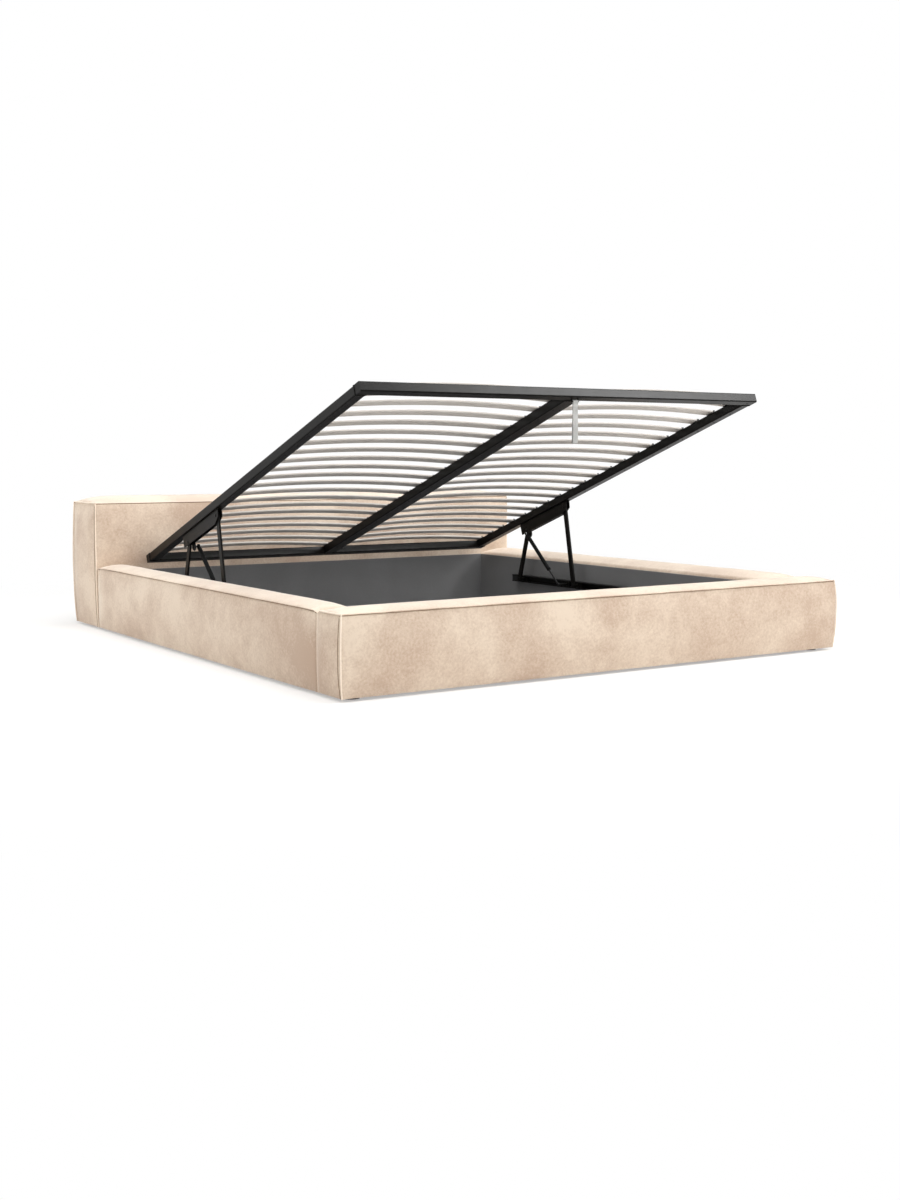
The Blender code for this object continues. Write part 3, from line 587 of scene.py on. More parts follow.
# %% Trees for piping and stitches
PIPING_RADIUS, PIPING_STEP = 2.6 * MM, 12 * MM
CREST_RADIUS = 1.8 * MM      # along the long top edges, where the seam shows less
SEAM_SHADOW_RADIUS = 2.4 * MM       # a dark brown cord, the painted shadow of a folded seam
STITCH_PITCH = 7 * MM
STITCH = (4.6 * MM, 1.3 * MM, 1.3 * MM)


def finish_tree(add, out, shape, material):
    """The end of a tree: copies made real, smooth and in one material."""
    real = add("GeometryNodeRealizeInstances", {"Geometry": shape})
    soft = add("GeometryNodeSetShadeSmooth", {"Geometry": real})
    dressed = add("GeometryNodeSetMaterial", {"Geometry": soft, "Material": material})
    return set_inputs(out, {0: dressed}).id_data


def piping_tree(material):
    """A round cord along each path."""
    add, given, out = new_tree("piping_" + material.name, Radius=PIPING_RADIUS, Step=PIPING_STEP)
    line = add("GeometryNodeMeshToCurve", {"Mesh": given["Geometry"]})
    even = add("GeometryNodeResampleCurve", {"Curve": line, "Length": given["Step"]}, mode="LENGTH")
    ring = add("GeometryNodeCurvePrimitiveCircle", {"Resolution": 8, "Radius": given["Radius"]})
    cord = add("GeometryNodeCurveToMesh", {"Curve": even, "Profile Curve": ring, "Fill Caps": True})
    return finish_tree(add, out, cord, material)


def stitch_tree(material):
    """Short threads laid end to end along each path."""
    add, given, out = new_tree("stitches_" + material.name, Pitch=STITCH_PITCH, Size=STITCH)
    line = add("GeometryNodeMeshToCurve", {"Mesh": given["Geometry"]})
    even = add("GeometryNodeResampleCurve", {"Curve": line, "Length": given["Pitch"]}, mode="LENGTH")
    run = add("GeometryNodeInputTangent")
    aim = add("FunctionNodeAlignRotationToVector", {"Vector": run}, axis="X")
    bead = add("GeometryNodeMeshUVSphere", {"Segments": 6, "Rings": 4, "Radius": 0.5})
    sewn = add("GeometryNodeInstanceOnPoints", {
        "Points": even, "Instance": bead, "Rotation": aim, "Scale": given["Size"]})
    return finish_tree(add, out, sewn, material)


print("seam trees ready")

# %% [markdown]
# ### Along the seams
#
# Every seam is a run of grid points, so piping, painted seam shadows and stitches follow the cover as it
# swells. The rails have no free ends and carry only a crest and the painted seam shadow beside it.

# %% Run them along the seams
crest, seam_shadow_paths, piped, sewn = [], [], [], []
for board in boards.values():
    across, along, up = board.last
    shoulder = max(i for i, a in enumerate(board.steps[0]) if a <= board.thickness - board.roll)
    crest.append(board.path((0, j, up) for j in range(along + 1)))
    seam_shadow_paths.append(board.path((0, j, up - 1) for j in range(along + 1)))
    if not board.free_ends:
        continue
    if board.front:
        seam_shadow_paths.append(board.path((across, j, up) for j in range(along + 1)))
    inner_column = across - STITCH_COLUMN
    column = inner_column if board.front else STITCH_COLUMN
    for j in (0, along):
        piped.append(board.path((i, j, up) for i in range(shoulder + 1)))
        piped.append(board.path((0, j, k) for k in range(up + 1)))
        seam_shadow_paths.append(board.path((column, j, k) for k in range(up)))
        sewn.append(board.path((STITCH_COLUMN, j, k) for k in range(1, up)))
        sewn.append(board.path((i, j, up - STITCH_COLUMN) for i in range(1, shoulder)))
        piped.append(board.path((across, j, k) for k in range(up + 1)))
        if board.front:
            sewn.append(board.path((inner_column, j, k) for k in range(1, up)))
ridges = grow("crest_piping", piping_tree(velvet), crest, Radius=CREST_RADIUS)
seam_shadow_cords = grow("painted_seam_shadows", piping_tree(seam_shadow_velvet), seam_shadow_paths, Radius=SEAM_SHADOW_RADIUS)
pipes = grow("corner_piping", piping_tree(piping), piped)
seams = grow("seam_stitches", stitch_tree(thread), sewn)
for piece in (ridges, seam_shadow_cords, pipes, seams):
    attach(piece, "base")
print("piping", len(pipes.data.polygons), "faces, stitches", len(seams.data.polygons), "faces")

# %% [markdown]
# ## Lining cloth and webbing
#
# The storage box is lined with board, faced with a plain polyester cloth glued flat. Its threads are
# a third of a millimetre, too fine to show, so the weave is drawn at 1.5 mm. The strap is the same
# weave in coarse polypropylene.

# %% Woven cloth: crossed threads
LINING_THREAD = 1.5 * MM
WEBBING_THREAD = 1.6 * MM
WAVE_SCALE = 2 * pi / 40    # a Wave texture of scale 1 repeats every 2 pi / 20; two threads to a repeat
RUBBED_PATCH, RUBBED_WEIGHT = 220 * MM, 0.6    # wide worn patches
WOVEN_LIMITS = (0.45, 1.15)


def join_surface(add, shader, tone, limits, pale, dark, relief, depth, strength):
    """Spread two colours by one pattern, between its limits, and raise another to a depth."""
    share = add("ShaderNodeMapRange", {"Value": tone, "From Min": limits[0], "From Max": limits[1]})
    colour = add("ShaderNodeMix", {
        FACTOR: share, FIRST_COLOUR: linear(dark), SECOND_COLOUR: linear(pale)}, data_type="RGBA")
    raised = add("ShaderNodeBump", {"Height": relief, "Distance": depth, "Strength": strength})
    set_inputs(shader, {"Base Color": colour.outputs[MIXED], "Normal": raised})


def make_woven(name, pale, dark, size, roughness, depth):
    """Bands of thread along the three axes, since each face shows the two that cross it."""
    material, add, shader, place = new_material(name, roughness, 0.15)
    level = 0.0
    for direction in ("X", "Y", "Z"):
        bands = add("ShaderNodeTexWave", {
            "Vector": place, "Scale": WAVE_SCALE / size, "Distortion": 0.5, "Detail": 1.0},
            bands_direction=direction).outputs["Fac"]
        level = add("ShaderNodeMath", {0: bands, 1: 1 / 3, 2: level}, operation="MULTIPLY_ADD")
    rubbed = add("ShaderNodeTexNoise", {"Vector": place, "Scale": 1 / RUBBED_PATCH, "Detail": 3.0})
    tone = add("ShaderNodeMath", {0: rubbed, 1: RUBBED_WEIGHT, 2: level}, operation="MULTIPLY_ADD")
    join_surface(add, shader, tone, WOVEN_LIMITS, pale, dark, level, depth, 0.5)
    return material


lining_cloth = make_woven("polyester_lining_cloth", "#7E7E7E", "#6A6A6A", LINING_THREAD, 0.9, 0.2 * MM)
webbing = make_woven("polypropylene_webbing", "#BEBEBC", "#9C9C9A", WEBBING_THREAD, 0.75, 0.4 * MM)
print("woven", lining_cloth.name, webbing.name)

# %% [markdown]
# ## Steel and plastic
#
# Powder coat is a baked plastic skin: black, half matt, with the faint orange peel of the melted
# powder. The struts' rods are nitrided, black and smooth, and small fixings are zinc plated. Nylon is
# moulded in a spark-eroded tool, which leaves it matt.

# %% Hard finishes
TONE_PATCH, TONE_LIMITS = 120 * MM, (0.35, 0.65)
TOUCH_PATCH, TOUCH_SPREAD = 50 * MM, 0.05    # where hands have polished it, and by how much


def make_hard(name, pale, dark, roughness, metallic=0.0, specular=0.5, grain=0.0, grain_size=1.2 * MM):
    """An even colour, a roughness that varies a little, and a fine grain."""
    material, add, shader, place = new_material(name, roughness, specular)
    tone, touched, peel = [
        add("ShaderNodeTexNoise", {"Vector": place, "Scale": 1 / size, "Detail": detail})
        for size, detail in ((TONE_PATCH, 4.0), (TOUCH_PATCH, 3.0), (grain_size, 1.0))]
    spread = add("ShaderNodeMapRange", {
        "Value": touched, "To Min": roughness - TOUCH_SPREAD, "To Max": roughness + TOUCH_SPREAD})
    set_inputs(shader, {"Metallic": metallic, "Roughness": spread})
    join_surface(add, shader, tone, TONE_LIMITS, pale, dark, peel, grain, 0.4)
    return material


powder_coat = make_hard("black_powder_coat", "#12110F", "#0D0C0B", 0.30, 0.0, 0.08, 0.1 * MM)
strut_paint = make_hard("baked_satin_paint", "#0C0C0C", "#080808", 0.50, 0.0, 0.06, 0.03 * MM, 4 * MM)
nitrided = make_hard("nitrided_steel", "#161617", "#0F0F10", 0.45, 0.3, 0.2, 0.02 * MM)
zinc = make_hard("zinc_plate", "#C4C6C8", "#A9ABAE", 0.33, 1.0, 0.5, 0.04 * MM)
nylon = make_hard("moulded_nylon", "#161617", "#111112", 0.52, 0.0, 0.3, 0.08 * MM, 0.8 * MM)
print("hard finishes ready")

# %% [markdown]
# ## Wood
#
# Slats are pressed birch under a grey paper film, and the bare veneers along their rounded edges are
# coloured a darker grey than the film: painted shade on the edges that face along the bed. The bottom
# panels are fibreboard with a grey face, and their bearer is planed pine.

# %% Wood: veneers, fibreboard and pine
GRAIN, BROAD_GRAIN = 3 * MM, 60 * MM
GRAIN_DEPTH = 0.12 * MM
FIGURE_LIMITS = (0.76, 1.24)


def make_wood(name, pale, dark, stretch, roughness):
    """Grain drawn out along one axis, the one whose stretch is small."""
    material, add, shader, place = new_material(name, roughness, 0.3)
    drawn = add("ShaderNodeMapping", {"Vector": place, "Scale": stretch})
    figure = add("ShaderNodeTexNoise", {
        "Vector": drawn, "Scale": 1 / GRAIN, "Detail": 5.0, "Roughness": 0.65})
    broad = add("ShaderNodeTexNoise", {"Vector": drawn, "Scale": 1 / BROAD_GRAIN, "Detail": 3.0})
    both = add("ShaderNodeMath", {0: figure, 1: broad}, operation="ADD")
    join_surface(add, shader, both, FIGURE_LIMITS, pale, dark, figure, GRAIN_DEPTH, 0.4)
    return material


film = make_wood("grey_film_on_birch", "#CAC5C0", "#BBB6B0", (0.04, 1.0, 1.0), 0.55)
# Painted shade: the edges that look along the bed are coloured darker than the film, so that they do not
# show lit.
birch_edge_with_painted_shade = make_wood("birch_edge_painted_shade", "#B6B0A9", "#A49E97", (0.05, 1.0, 1.0), 0.6)
fibreboard = make_wood("grey_faced_fibreboard", "#929294", "#808082", (1.0, 1.0, 1.0), 0.7)
pine = make_wood("planed_pine", "#D9B98A", "#B98F5C", (0.04, 1.0, 1.0), 0.6)
print("woods ready")

# %% [markdown]
# ## Finishes of the nodes that stay
#
# Steel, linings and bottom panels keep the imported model's shapes and only get their finishes.

# %% Finishes by the start of a node's name
FINISHES = (
    (lining_cloth, ("lining_",)), (fibreboard, ("bottom_panel_",)), (pine, ("centre_bearer",)),
    (zinc, ("joint_plate_",)), (nylon, ("glide_",)), (strut_paint, ("strut_cylinder_",)),
    (nitrided, ("strut_rod_",)),
    (powder_coat, ("lift_", "frame_tube_", "centre_beam", "carriage_", "rear_arm_", "front_arm_")))
for finish, starts in FINISHES:
    named = [node for name, node in nodes.items() if name.startswith(starts)]
    for node in named:
        node.data.materials.clear()
        node.data.materials.append(finish)
    print(finish.name, "on", len(named), "nodes")

# %% [markdown]
# ## Slats
#
# A sprung slat is a strip of veneers glued in a curved press, its long edges rounded. Twenty-one
# rows in two bays are the same strip again and again. They lie on the raised frame, so its axes come
# first: it turns about the lift's pole, from where it rests when it is shut.

# %% Axes of the raised frame
LIFT = next(joint for joint in frame["joints"] if joint["name"] == "frame_lift")
TILT = radians(LIFT["range_deg"][1])
SHUT_EDGE = Vector((0.0, 0.956, 0.256))    # the frame's head edge, at its underside, when shut
FRAME_LENGTH = 2.028
pole = Vector(LIFT["pos_m"])
frame_place = (Matrix.Translation(pole) @ Matrix.Rotation(-TILT, 4, "X") @ Matrix.Translation(-pole)
               @ Matrix.Translation(SHUT_EDGE))
print("frame's head edge", [round(v, 3) for v in frame_place.translation])

# %% [markdown]
# ### A tree for rows of bars
#
# The tree bends a line into a low arch, sweeps a rounded section along it, turns a copy into the
# other bay, and sets a pair on every row. The last row has a place of its own, close to the foot. With
# other sizes the same tree makes the holders.

# %% The tree
SLAT_ROWS = 21
FIRST_SLAT, SLAT_PITCH = 48 * MM, 97.2 * MM
LAST_SLAT = FRAME_LENGTH - 75 * MM
SLAT_WIDTH, SLAT_THICKNESS, SLAT_BOW = 38 * MM, 8 * MM, 18 * MM
SLAT_CORNER, SLAT_STEPS = 2.5 * MM, 25
SLAT_SEAT = 37.3 * MM    # undersides of the slats' ends, over the undersides of the tubes
BAY_INNER, BAY_OUTER = 6 * MM, 866 * MM
CUT_EDGE = 0.8           # a face that looks along the bed by more than this is a bare edge


def bar_tree(name, material, edge_material):
    """Rows of bars on both sides of the middle, flat or bowed, with rounded edges."""
    add, size, out = new_tree(name, Rows=SLAT_ROWS, First=FIRST_SLAT, Pitch=SLAT_PITCH, Last=LAST_SLAT,
                              Inner=BAY_INNER, Outer=BAY_OUTER, Width=SLAT_WIDTH,
                              Height=SLAT_THICKNESS, Bow=SLAT_BOW, Corner=SLAT_CORNER, Steps=SLAT_STEPS)
    line = add("GeometryNodeCurvePrimitiveLine", {"Start": (0, 0, 0), "End": (1, 0, 0)})
    fine = add("GeometryNodeResampleCurve", {"Curve": line, "Count": size["Steps"]})
    where = add("GeometryNodeInputPosition")
    share = add("ShaderNodeSeparateXYZ", {0: where}).outputs["X"]
    span = add("ShaderNodeMath", {0: size["Outer"], 1: size["Inner"]}, operation="SUBTRACT")
    across = add("ShaderNodeMath", {0: share, 1: span, 2: size["Inner"]}, operation="MULTIPLY_ADD")
    rise, rest = share, add("ShaderNodeMath", {0: 1.0, 1: share}, operation="SUBTRACT")
    for factor in (rest, size["Bow"], 4.0):      # 4 x (1 - x) is 1 in the middle of a bay
        rise = add("ShaderNodeMath", {0: rise, 1: factor}, operation="MULTIPLY")
    bent_to = add("ShaderNodeCombineXYZ", {"X": across, "Z": rise})
    bent = add("GeometryNodeSetPosition", {"Geometry": fine, "Position": bent_to})
    section = add("GeometryNodeCurvePrimitiveQuadrilateral", {
        "Width": size["Width"], "Height": size["Height"]})
    eased = add("GeometryNodeFilletCurve", {
        "Curve": section, "Radius": size["Corner"], "Count": 3}, mode="POLY")
    bar = add("GeometryNodeCurveToMesh", {"Curve": bent, "Profile Curve": eased, "Fill Caps": True})
    other = add("GeometryNodeTransform", {"Geometry": bar, "Rotation": (0, 0, pi)})
    start, step, end = [
        add("ShaderNodeCombineXYZ", {
            "Y": add("ShaderNodeMath", {0: size[key], 1: -1.0}, operation="MULTIPLY")})
        for key in ("First", "Pitch", "Last")]
    even = add("ShaderNodeMath", {0: size["Rows"], 1: 1}, operation="SUBTRACT")
    rows = add("GeometryNodeMeshLine", {"Count": even, "Start Location": start, "Offset": step})
    closing = add("GeometryNodeMeshLine", {"Count": 1, "Start Location": end})
    pair, places = [add("GeometryNodeJoinGeometry") for _ in range(2)]
    for part, whole in ((bar, pair), (other, pair), (rows, places), (closing, places)):
        set_inputs(whole, {0: part})
    set_out = add("GeometryNodeInstanceOnPoints", {"Points": places, "Instance": pair})
    real = add("GeometryNodeRealizeInstances", {"Geometry": set_out})
    dressed = add("GeometryNodeSetMaterial", {"Geometry": real, "Material": material})
    # Faces that look along the bed take the edge material: for the slats, the birch edge painted darker
    # as shade.
    facing = add("GeometryNodeInputNormal")
    along = add("ShaderNodeSeparateXYZ", {0: facing}).outputs["Y"]
    steep = add("ShaderNodeMath", {0: along}, operation="ABSOLUTE")
    cut = add("FunctionNodeCompare", {0: steep, 1: CUT_EDGE}, operation="GREATER_THAN")
    edged = add("GeometryNodeSetMaterial", {
        "Geometry": dressed, "Selection": cut, "Material": edge_material})
    return set_inputs(out, {0: edged}).id_data


slat_place = frame_place @ Matrix.Translation((0, 0, SLAT_SEAT + SLAT_THICKNESS / 2))
slats = grow("sprung_slats", bar_tree("slat_rows", film, birch_edge_with_painted_shade), place=slat_place)
print("slats", len(slats.data.polygons), "faces")

# %% [markdown]
# ## Slat holders
#
# Each slat's end sits in a low nylon saddle on the side tube, and two ends share a longer one on the
# beam. They stand back from the tubes' edges, so from below they hide behind the steel. Pegs under
# them snap into holes in the tubes.

# %% Holders, from the same tree
HOLDER_WIDTH, HOLDER_WALL = 44 * MM, 1.3 * MM
HOLDER_FROM, HOLDER_TO, HUB_REACH = 862 * MM, 870 * MM, 12 * MM
HOLDER_HEIGHT = SLAT_THICKNESS + 2 * HOLDER_WALL
HOLDER_CORNER = 3 * MM
holder_tree = bar_tree("holder_rows", nylon, nylon)
holders = joined("slat_holders", [
    grow("holders", holder_tree, place=slat_place, Inner=inner, Outer=outer, Width=HOLDER_WIDTH,
         Height=HOLDER_HEIGHT, Bow=0.0, Corner=HOLDER_CORNER, Steps=2)
    for inner, outer in ((HOLDER_FROM, HOLDER_TO), (0.0, HUB_REACH))])
for piece in (slats, holders):
    piece.data.shade_smooth()
    piece.data.set_sharp_from_angle(angle=radians(35))
    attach(piece, "lift_frame")
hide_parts(*[f"slat_pair_{row:02d}" for row in range(1, SLAT_ROWS + 1)])
print("holders", len(holders.data.polygons), "faces")

# %% [markdown]
# ## Rivets, screws, pegs and weld beads
#
# All are small domes set in a row, so one tree makes them. A dome is a flattened ball, half sunk in
# the part it holds. A weld bead is a row of domes that overlap, as the torch leaves them.

# %% A tree for rows of domes
ORIGIN = (0.0, 0.0, 0.0)


def dome_tree(material):
    """A row of flattened balls, the first at a start and the others a step apart."""
    add, given, out = new_tree("domes_" + material.name, Count=1, Start=ORIGIN, Step=ORIGIN, Size=ORIGIN)
    row = add("GeometryNodeMeshLine", {
        "Count": given["Count"], "Start Location": given["Start"], "Offset": given["Step"]})
    ball = add("GeometryNodeMeshUVSphere", {"Segments": 12, "Rings": 6, "Radius": 0.5})
    placed = add("GeometryNodeInstanceOnPoints", {
        "Points": row, "Instance": ball, "Scale": given["Size"]})
    return finish_tree(add, out, placed, material)


def dome_rows(name, tree, size, rows, place=Matrix.Identity(4)):
    """Rows of domes as one piece. Each row is a count, a start and a step."""
    return joined(name, [
        grow(name + "_row", tree, place=place, Count=count, Start=start, Step=step, Size=size)
        for count, start, step in rows])


black_domes = dome_tree(powder_coat)
nylon_domes = dome_tree(nylon)
joint_at = {joint["name"]: Vector(joint["pos_m"]) for joint in frame["joints"] if joint.get("pos_m")}
print("joints with a place", len(joint_at))

# %% [markdown]
# ### Rivets
#
# The upper pivot of each arm is a rivet through both plates of its bracket, so it has two heads.

# %% Rivets of the arms' upper pivots, in both plates of each bracket
RIVET = (5 * MM, 15 * MM, 15 * MM)
PLATE_REACH = 10 * MM     # from the arm's middle to a plate's outer face
rows = []
for side in ("left", "right"):
    for arm in ("rear", "front"):
        start = joint_at[f"{arm}_arm_swing_{side}"] - Vector((PLATE_REACH, 0, 0))
        rows.append((2, tuple(start), (2 * PLATE_REACH, 0.0, 0.0)))
rivets = dome_rows("arm_rivets", black_domes, RIVET, rows)
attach(rivets, "lift_frame")
print("rivets", len(rivets.data.polygons), "faces")

# %% [markdown]
# ### Screws
#
# Five screws on each side hold the track's web to the lining. They are spread evenly along it.

# %% Screws that hold the tracks to the linings
TRACK_LOW, TRACK_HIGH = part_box("lift_track_right")
TRACK_MIDDLE = (TRACK_LOW.z + TRACK_HIGH.z) / 2
SCREW, SCREW_INSIDE = (3 * MM, 9 * MM, 9 * MM), 2 * MM
SCREW_COUNT = 5
screw_room = (TRACK_HIGH.y - TRACK_LOW.y) / SCREW_COUNT
rows = [(SCREW_COUNT, (side * (TRACK_HIGH.x - SCREW_INSIDE), TRACK_LOW.y + screw_room / 2, TRACK_MIDDLE),
         (0.0, screw_room, 0.0)) for side in (-1, 1)]
screws = dome_rows("track_screws", black_domes, SCREW, rows)
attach(screws, "base")
print("screws", len(screws.data.polygons), "faces")

# %% [markdown]
# ### End stops
#
# A carriage that runs in an open channel needs a stop, or it would leave the channel. Here it is a
# black block of nylon behind each carriage, which also closes the channel to the eye.

# %% End stops of the tracks
STOP_PLAY, STOP_DEPTH = 6 * MM, 28 * MM
CHANNEL_WALL, CHANNEL_WEB = 2.2 * MM, 2.2 * MM
BOX_FACES = ((0, 1, 3, 2), (4, 6, 7, 5), (0, 4, 5, 1), (2, 3, 7, 6), (0, 2, 6, 4), (1, 5, 7, 3))
for side in ("left", "right"):
    (low, high), (_, behind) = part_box("lift_track_" + side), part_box("carriage_" + side)
    sign = 1 if side == "right" else -1
    web = max(sign * low.x, sign * high.x) - CHANNEL_WEB
    inner = Vector((sign * (web - STOP_DEPTH), behind.y + STOP_PLAY, low.z + CHANNEL_WALL))
    outer = Vector((sign * web, high.y, high.z - CHANNEL_WALL))
    if outer.y - inner.y > STOP_PLAY:
        corners = [(x, y, z) for x in (inner.x, outer.x) for y in (inner.y, outer.y)
                   for z in (inner.z, outer.z)]
        stop = new_mesh_object("end_stop_" + side, corners, BOX_FACES, nylon)
        stop.data.shade_flat()
        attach(stop, "base")
        print(stop.name, "is", round((outer.y - inner.y) / MM), "mm long")

# %% [markdown]
# ### Pegs and weld beads
#
# The holders' pegs show under the tubes. A bead closes each joint of a side tube or the beam with the
# tubes at head and foot: across its underside and up both of its sides.

# %% Pegs and beads
TUBE, BEAM, DEPTH = 40 * MM, 60 * MM, 35 * MM
SIDE_MIDDLE, HUB_PEG = 870 * MM, 15 * MM
PEG = (7 * MM, 7 * MM, 3 * MM)
BEAD, BEAD_STEP = (6 * MM, 6 * MM, 5 * MM), 3.5 * MM
BEAD_RISE = 2 * MM
rows = [(SLAT_ROWS - 1, (x, -FIRST_SLAT, 0.0), (0.0, -SLAT_PITCH, 0.0))
        for x in (-SIDE_MIDDLE, -HUB_PEG, HUB_PEG, SIDE_MIDDLE)]
pegs = dome_rows("holder_pegs", nylon_domes, PEG, rows, frame_place)
rows = []
for y in (-TUBE, TUBE - FRAME_LENGTH):
    for middle, width in ((-SIDE_MIDDLE, TUBE), (0.0, BEAM), (SIDE_MIDDLE, TUBE)):
        rows.append((int(width / BEAD_STEP), (middle - width / 2, y, 0.0), (BEAD_STEP, 0.0, 0.0)))
        rows += [(int(DEPTH / BEAD_STEP), (middle + edge * width / 2, y, BEAD_RISE),
                  (0.0, 0.0, BEAD_STEP)) for edge in (-1, 1)]
beads = dome_rows("weld_beads", black_domes, BEAD, rows, frame_place)
for piece, slot in ((pegs, "glide_plastic"), (beads, "black_steel")):
    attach(piece, "lift_frame")
print("pegs", len(pegs.data.polygons), "beads", len(beads.data.polygons), "faces")

# %% [markdown]
# ## Spring clips on the struts
#
# A gas strut snaps onto a ball stud, and a spring clip of bright wire keeps it there. It is the pale
# ring that shows at the strut's upper end.

# %% Clips
CLIP_RADIUS, CLIP_WIRE, CLIP_STEP = 7.5 * MM, 0.9 * MM, 2 * MM
CLIP_OUT = 5 * MM    # from the strut's middle


def clip_ring(at):
    """A wire ring round a stud, as a list of points across the bed's width."""
    turns = [radians(angle) for angle in range(0, 316, 15)]
    return [at + Vector((0.0, CLIP_RADIUS * cos(turn), CLIP_RADIUS * sin(turn))) for turn in turns]


wire = piping_tree(zinc)
for side, sign in (("left", -1), ("right", 1)):
    outward = Vector((-sign * CLIP_OUT, 0.0, 0.0))
    clip = grow(f"strut_clip_{side}", wire, [clip_ring(joint_at[f"strut_swing_{side}"] + outward)],
                Radius=CLIP_WIRE, Step=CLIP_STEP)
    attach(clip, f"strut_cylinder_{side}")
print("clips ready")

# %% [markdown]
# ## Pull strap
#
# A length of webbing goes over the staple under the foot tube, and its two ends are sewn together
# below. It hangs straight, so it is modelled directly: a flat band along a narrow loop.

# %% Strap
STRAP_WIDTH, STRAP_THICKNESS, STRAP_LENGTH = 22 * MM, 1.4 * MM, 150 * MM
STRAP_TOP, STRAP_FOOT = 4.2 * MM, 2.6 * MM     # half the loop's depth at the staple and at its end
STRAP_SIDE = [(8, 2.4), (20, 1.0), (45, 1.0), (75, 2.2), (110, 3.0), (140, 2.8)]    # down, half depth
hang = joint_at["strap_swing"]


def bend(radius, height, turns):
    """Points of a round bend in the band, as (y, z)."""
    return [(radius * cos(radians(turn)), height + radius * sin(radians(turn))) for turn in turns]


def strap_line():
    """The middle of the band, as (y, z) points from the staple and round."""
    line = bend(STRAP_TOP, 0.0, range(0, 181, 20))
    line += [(-depth * MM, -down * MM) for down, depth in STRAP_SIDE]
    line += bend(STRAP_FOOT, STRAP_FOOT - STRAP_LENGTH, range(180, 361, 30))
    line += [(depth * MM, -down * MM) for down, depth in reversed(STRAP_SIDE)]
    return line


def build_strap():
    """The band as a mesh of four points to each point of its line, and the line's length."""
    line = strap_line()
    points, faces, length = [], [], 0.0
    for index, (y, z) in enumerate(line):
        before, after = line[index - 1], line[(index + 1) % len(line)]
        run = Vector((after[0] - before[0], after[1] - before[1])).normalized()
        length += hypot(y - before[0], z - before[1])
        for out in (-1, 1):
            for edge in (-1, 1):
                shift = out * STRAP_THICKNESS / 2
                offset = (edge * STRAP_WIDTH / 2, y + run.y * shift, z - run.x * shift)
                points.append(hang + Vector(offset))
    for index in range(len(line)):
        a, b = index * 4, (index + 1) % len(line) * 4
        faces += [(a, a + 1, b + 1, b), (a + 2, b + 2, b + 3, a + 3), (a, b, b + 2, a + 2),
                  (a + 1, a + 3, b + 3, b + 1)]
    return new_mesh_object("webbing_strap", points, faces, webbing), length


strap, strap_flat = build_strap()
strap.data.set_sharp_from_angle(angle=radians(50))
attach(strap, "pull_strap")
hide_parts("pull_strap")
print("strap cut", round(strap_flat / MM), "mm long")

# %% [markdown]
# ### The box of stitches
#
# A square of stitches with a cross-thread closes the loop under the staple. It shows on both sides.

# %% The box of stitches that closes the strap
BOX_TOP, BOX_LOW, BOX_HALF = -22 * MM, -40 * MM, 8 * MM
BOX_STAND, BOX_PITCH = 1.8 * MM, 3.2 * MM
BOX_STITCH = (2.4 * MM, 0.9 * MM, 0.9 * MM)
corners = [(-BOX_HALF, BOX_TOP), (BOX_HALF, BOX_TOP), (BOX_HALF, BOX_LOW), (-BOX_HALF, BOX_LOW),
           (-BOX_HALF, BOX_TOP), (BOX_HALF, BOX_LOW)]
box = [[hang + Vector((x, side * BOX_STAND, z)) for x, z in corners] for side in (-1, 1)]
strap_box = grow("strap_stitches", stitch_tree(webbing), box, Pitch=BOX_PITCH, Size=BOX_STITCH)
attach(strap_box, "pull_strap")
print("strap stitches", len(strap_box.data.polygons), "faces")

# %% [markdown]
# ## Floor
#
# The floor is pale and matt and keeps the bed's shadow. Away from the bed it turns white to the
# camera alone, as the backdrop does, so neither adds light to the bed.

# %% Floor
FLOOR_SIZE = 40.0
FLOOR_CORNERS = [(x * FLOOR_SIZE, y * FLOOR_SIZE, 0) for x, y in ((-1, -1), (1, -1), (1, 1), (-1, 1))]
WHITE_FROM, WHITE_TO = 1.5, 3.4    # distances from the bed's middle, in metres
WHITE_NEAR = 0.4                   # its share in the floor near the bed


def seen_itself(add):
    """1 for a ray that shows a surface as it is: to the eye, in a gleam or through glass."""
    rays = add("ShaderNodeLightPath")
    seen = rays.outputs["Is Camera Ray"]
    for kind in ("Is Glossy Ray", "Is Transmission Ray"):
        seen = add("ShaderNodeMath", {0: seen, 1: rays.outputs[kind]}, operation="MAXIMUM")
    return seen


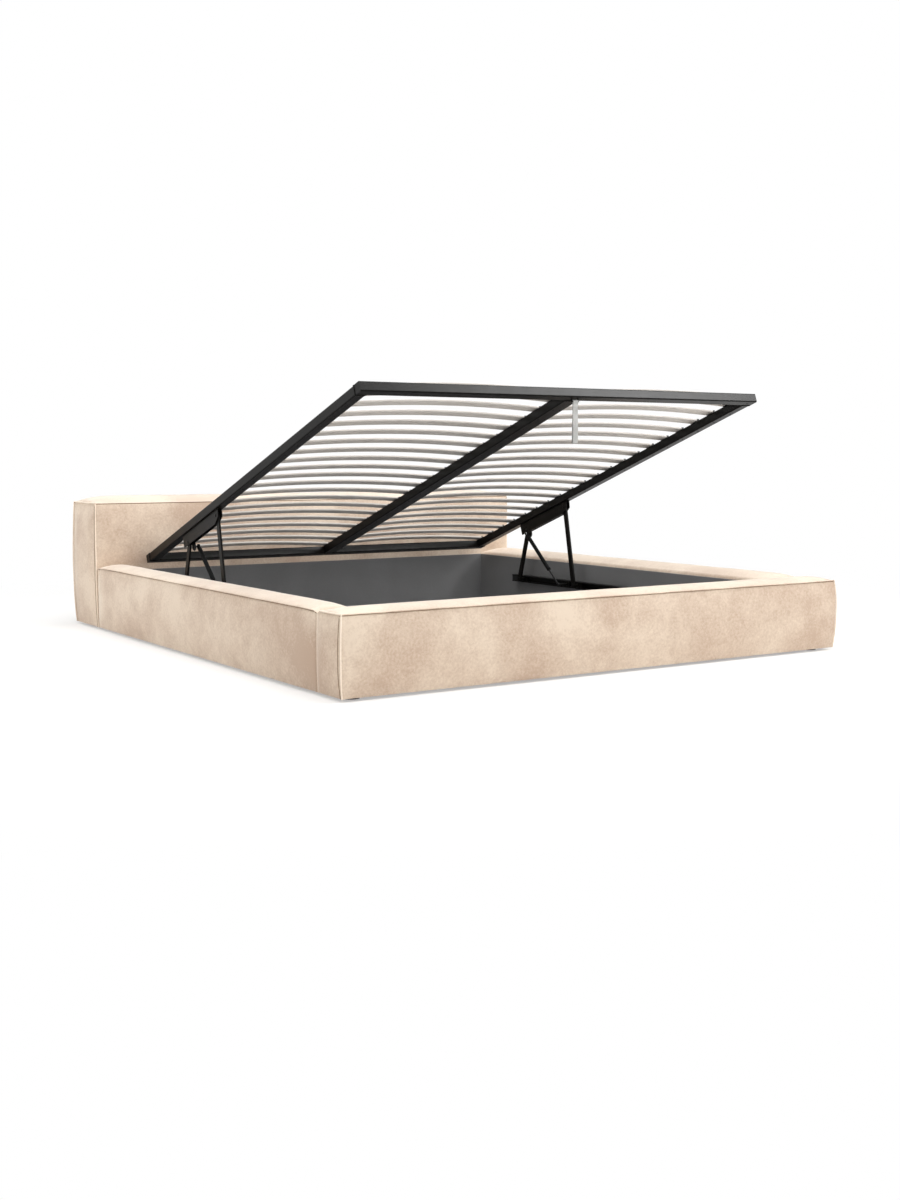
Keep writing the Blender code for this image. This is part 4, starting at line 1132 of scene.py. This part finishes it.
floor = new_mesh_object("floor", FLOOR_CORNERS, [(0, 1, 2, 3)], None)
paint, add, shader, place = new_material("matt_floor_paint", 0.95, 0.1)
set_inputs(shader, {"Base Color": linear("#F4F3F1")})
away = add("ShaderNodeVectorMath", {0: place}, operation="LENGTH").outputs["Value"]
fade = add("ShaderNodeMapRange", {
    "Value": away, "From Min": WHITE_FROM, "From Max": WHITE_TO, "To Min": WHITE_NEAR, "To Max": 1.0},
    interpolation_type="SMOOTHSTEP")
share = add("ShaderNodeMath", {0: seen_itself(add), 1: fade}, operation="MULTIPLY")
glow = add("ShaderNodeEmission", {"Color": (1, 1, 1, 1), "Strength": 1.0})
blend = add("ShaderNodeMixShader", {0: share, 1: shader, 2: glow})
set_inputs(paint.node_tree.nodes["Material Output"], {"Surface": blend})
floor.data.materials.append(paint)
floor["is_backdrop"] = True
print("floor ready")

# %% [markdown]
# ## Light and background
#
# Five lamps light the bed. The key is a soft box at the front right, and a sheet of light hangs
# overhead and makes the tops creamy. A soft box at the rear left opens up the side. A large one far
# in front lights headboard and footboard alike, because both are nearly as far from it. The last is a
# card that shows only in reflections: it gives the black foot tube its grey gleam.

# %% Lamps and backdrop
MIDDLE = Vector((0.0, -0.2, 0.3))
LAMPS = (        # place and size in metres, power in watts
    ("key_softbox", (3.9, -3.0, 3.1), (2.0, 2.0), 104),
    ("overhead_sheet", (-0.1, -0.8, 4.0), (5.0, 5.0), 268),
    ("rear_left_softbox", (-4.6, 2.4, 2.0), (2.6, 2.2), 68),
    ("far_front_fill", (-2.0, -13.0, 2.2), (6.0, 3.0), 215),
    ("steel_highlight_card", (2.8, -3.7, 3.3), (1.8, 1.8), 265))
WORLD_LIGHT = 0.33
for name, place, size, power in LAMPS:
    lamp = put_in_scene(name, bpy.data.lights.new(name, "AREA"))
    lamp.data.shape = "RECTANGLE"
    lamp.data.size, lamp.data.size_y = size
    lamp.data.energy = power
    lamp.location = place
    lamp.rotation_euler = (MIDDLE - Vector(place)).to_track_quat("-Z", "Y").to_euler()
lamp.visible_diffuse = False        # the card

world = bpy.data.worlds.new("studio")
bpy.context.scene.world = world
world.use_nodes = True
world.node_tree.nodes.clear()
add = partial(add_node, world.node_tree)
fill, white = [add("ShaderNodeBackground", {"Color": (1, 1, 1, 1), "Strength": strength})
               for strength in (WORLD_LIGHT, 1.0)]
shown = add("ShaderNodeMixShader", {0: seen_itself(add), 1: fill, 2: white})
add("ShaderNodeOutputWorld", {"Surface": shown})
bpy.context.scene.view_settings.view_transform = "Standard"
print("lamps", len(LAMPS))

# %% Sizes and finish
low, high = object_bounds()
print("visual box", [round(v, 3) for v in (*low, *high)])
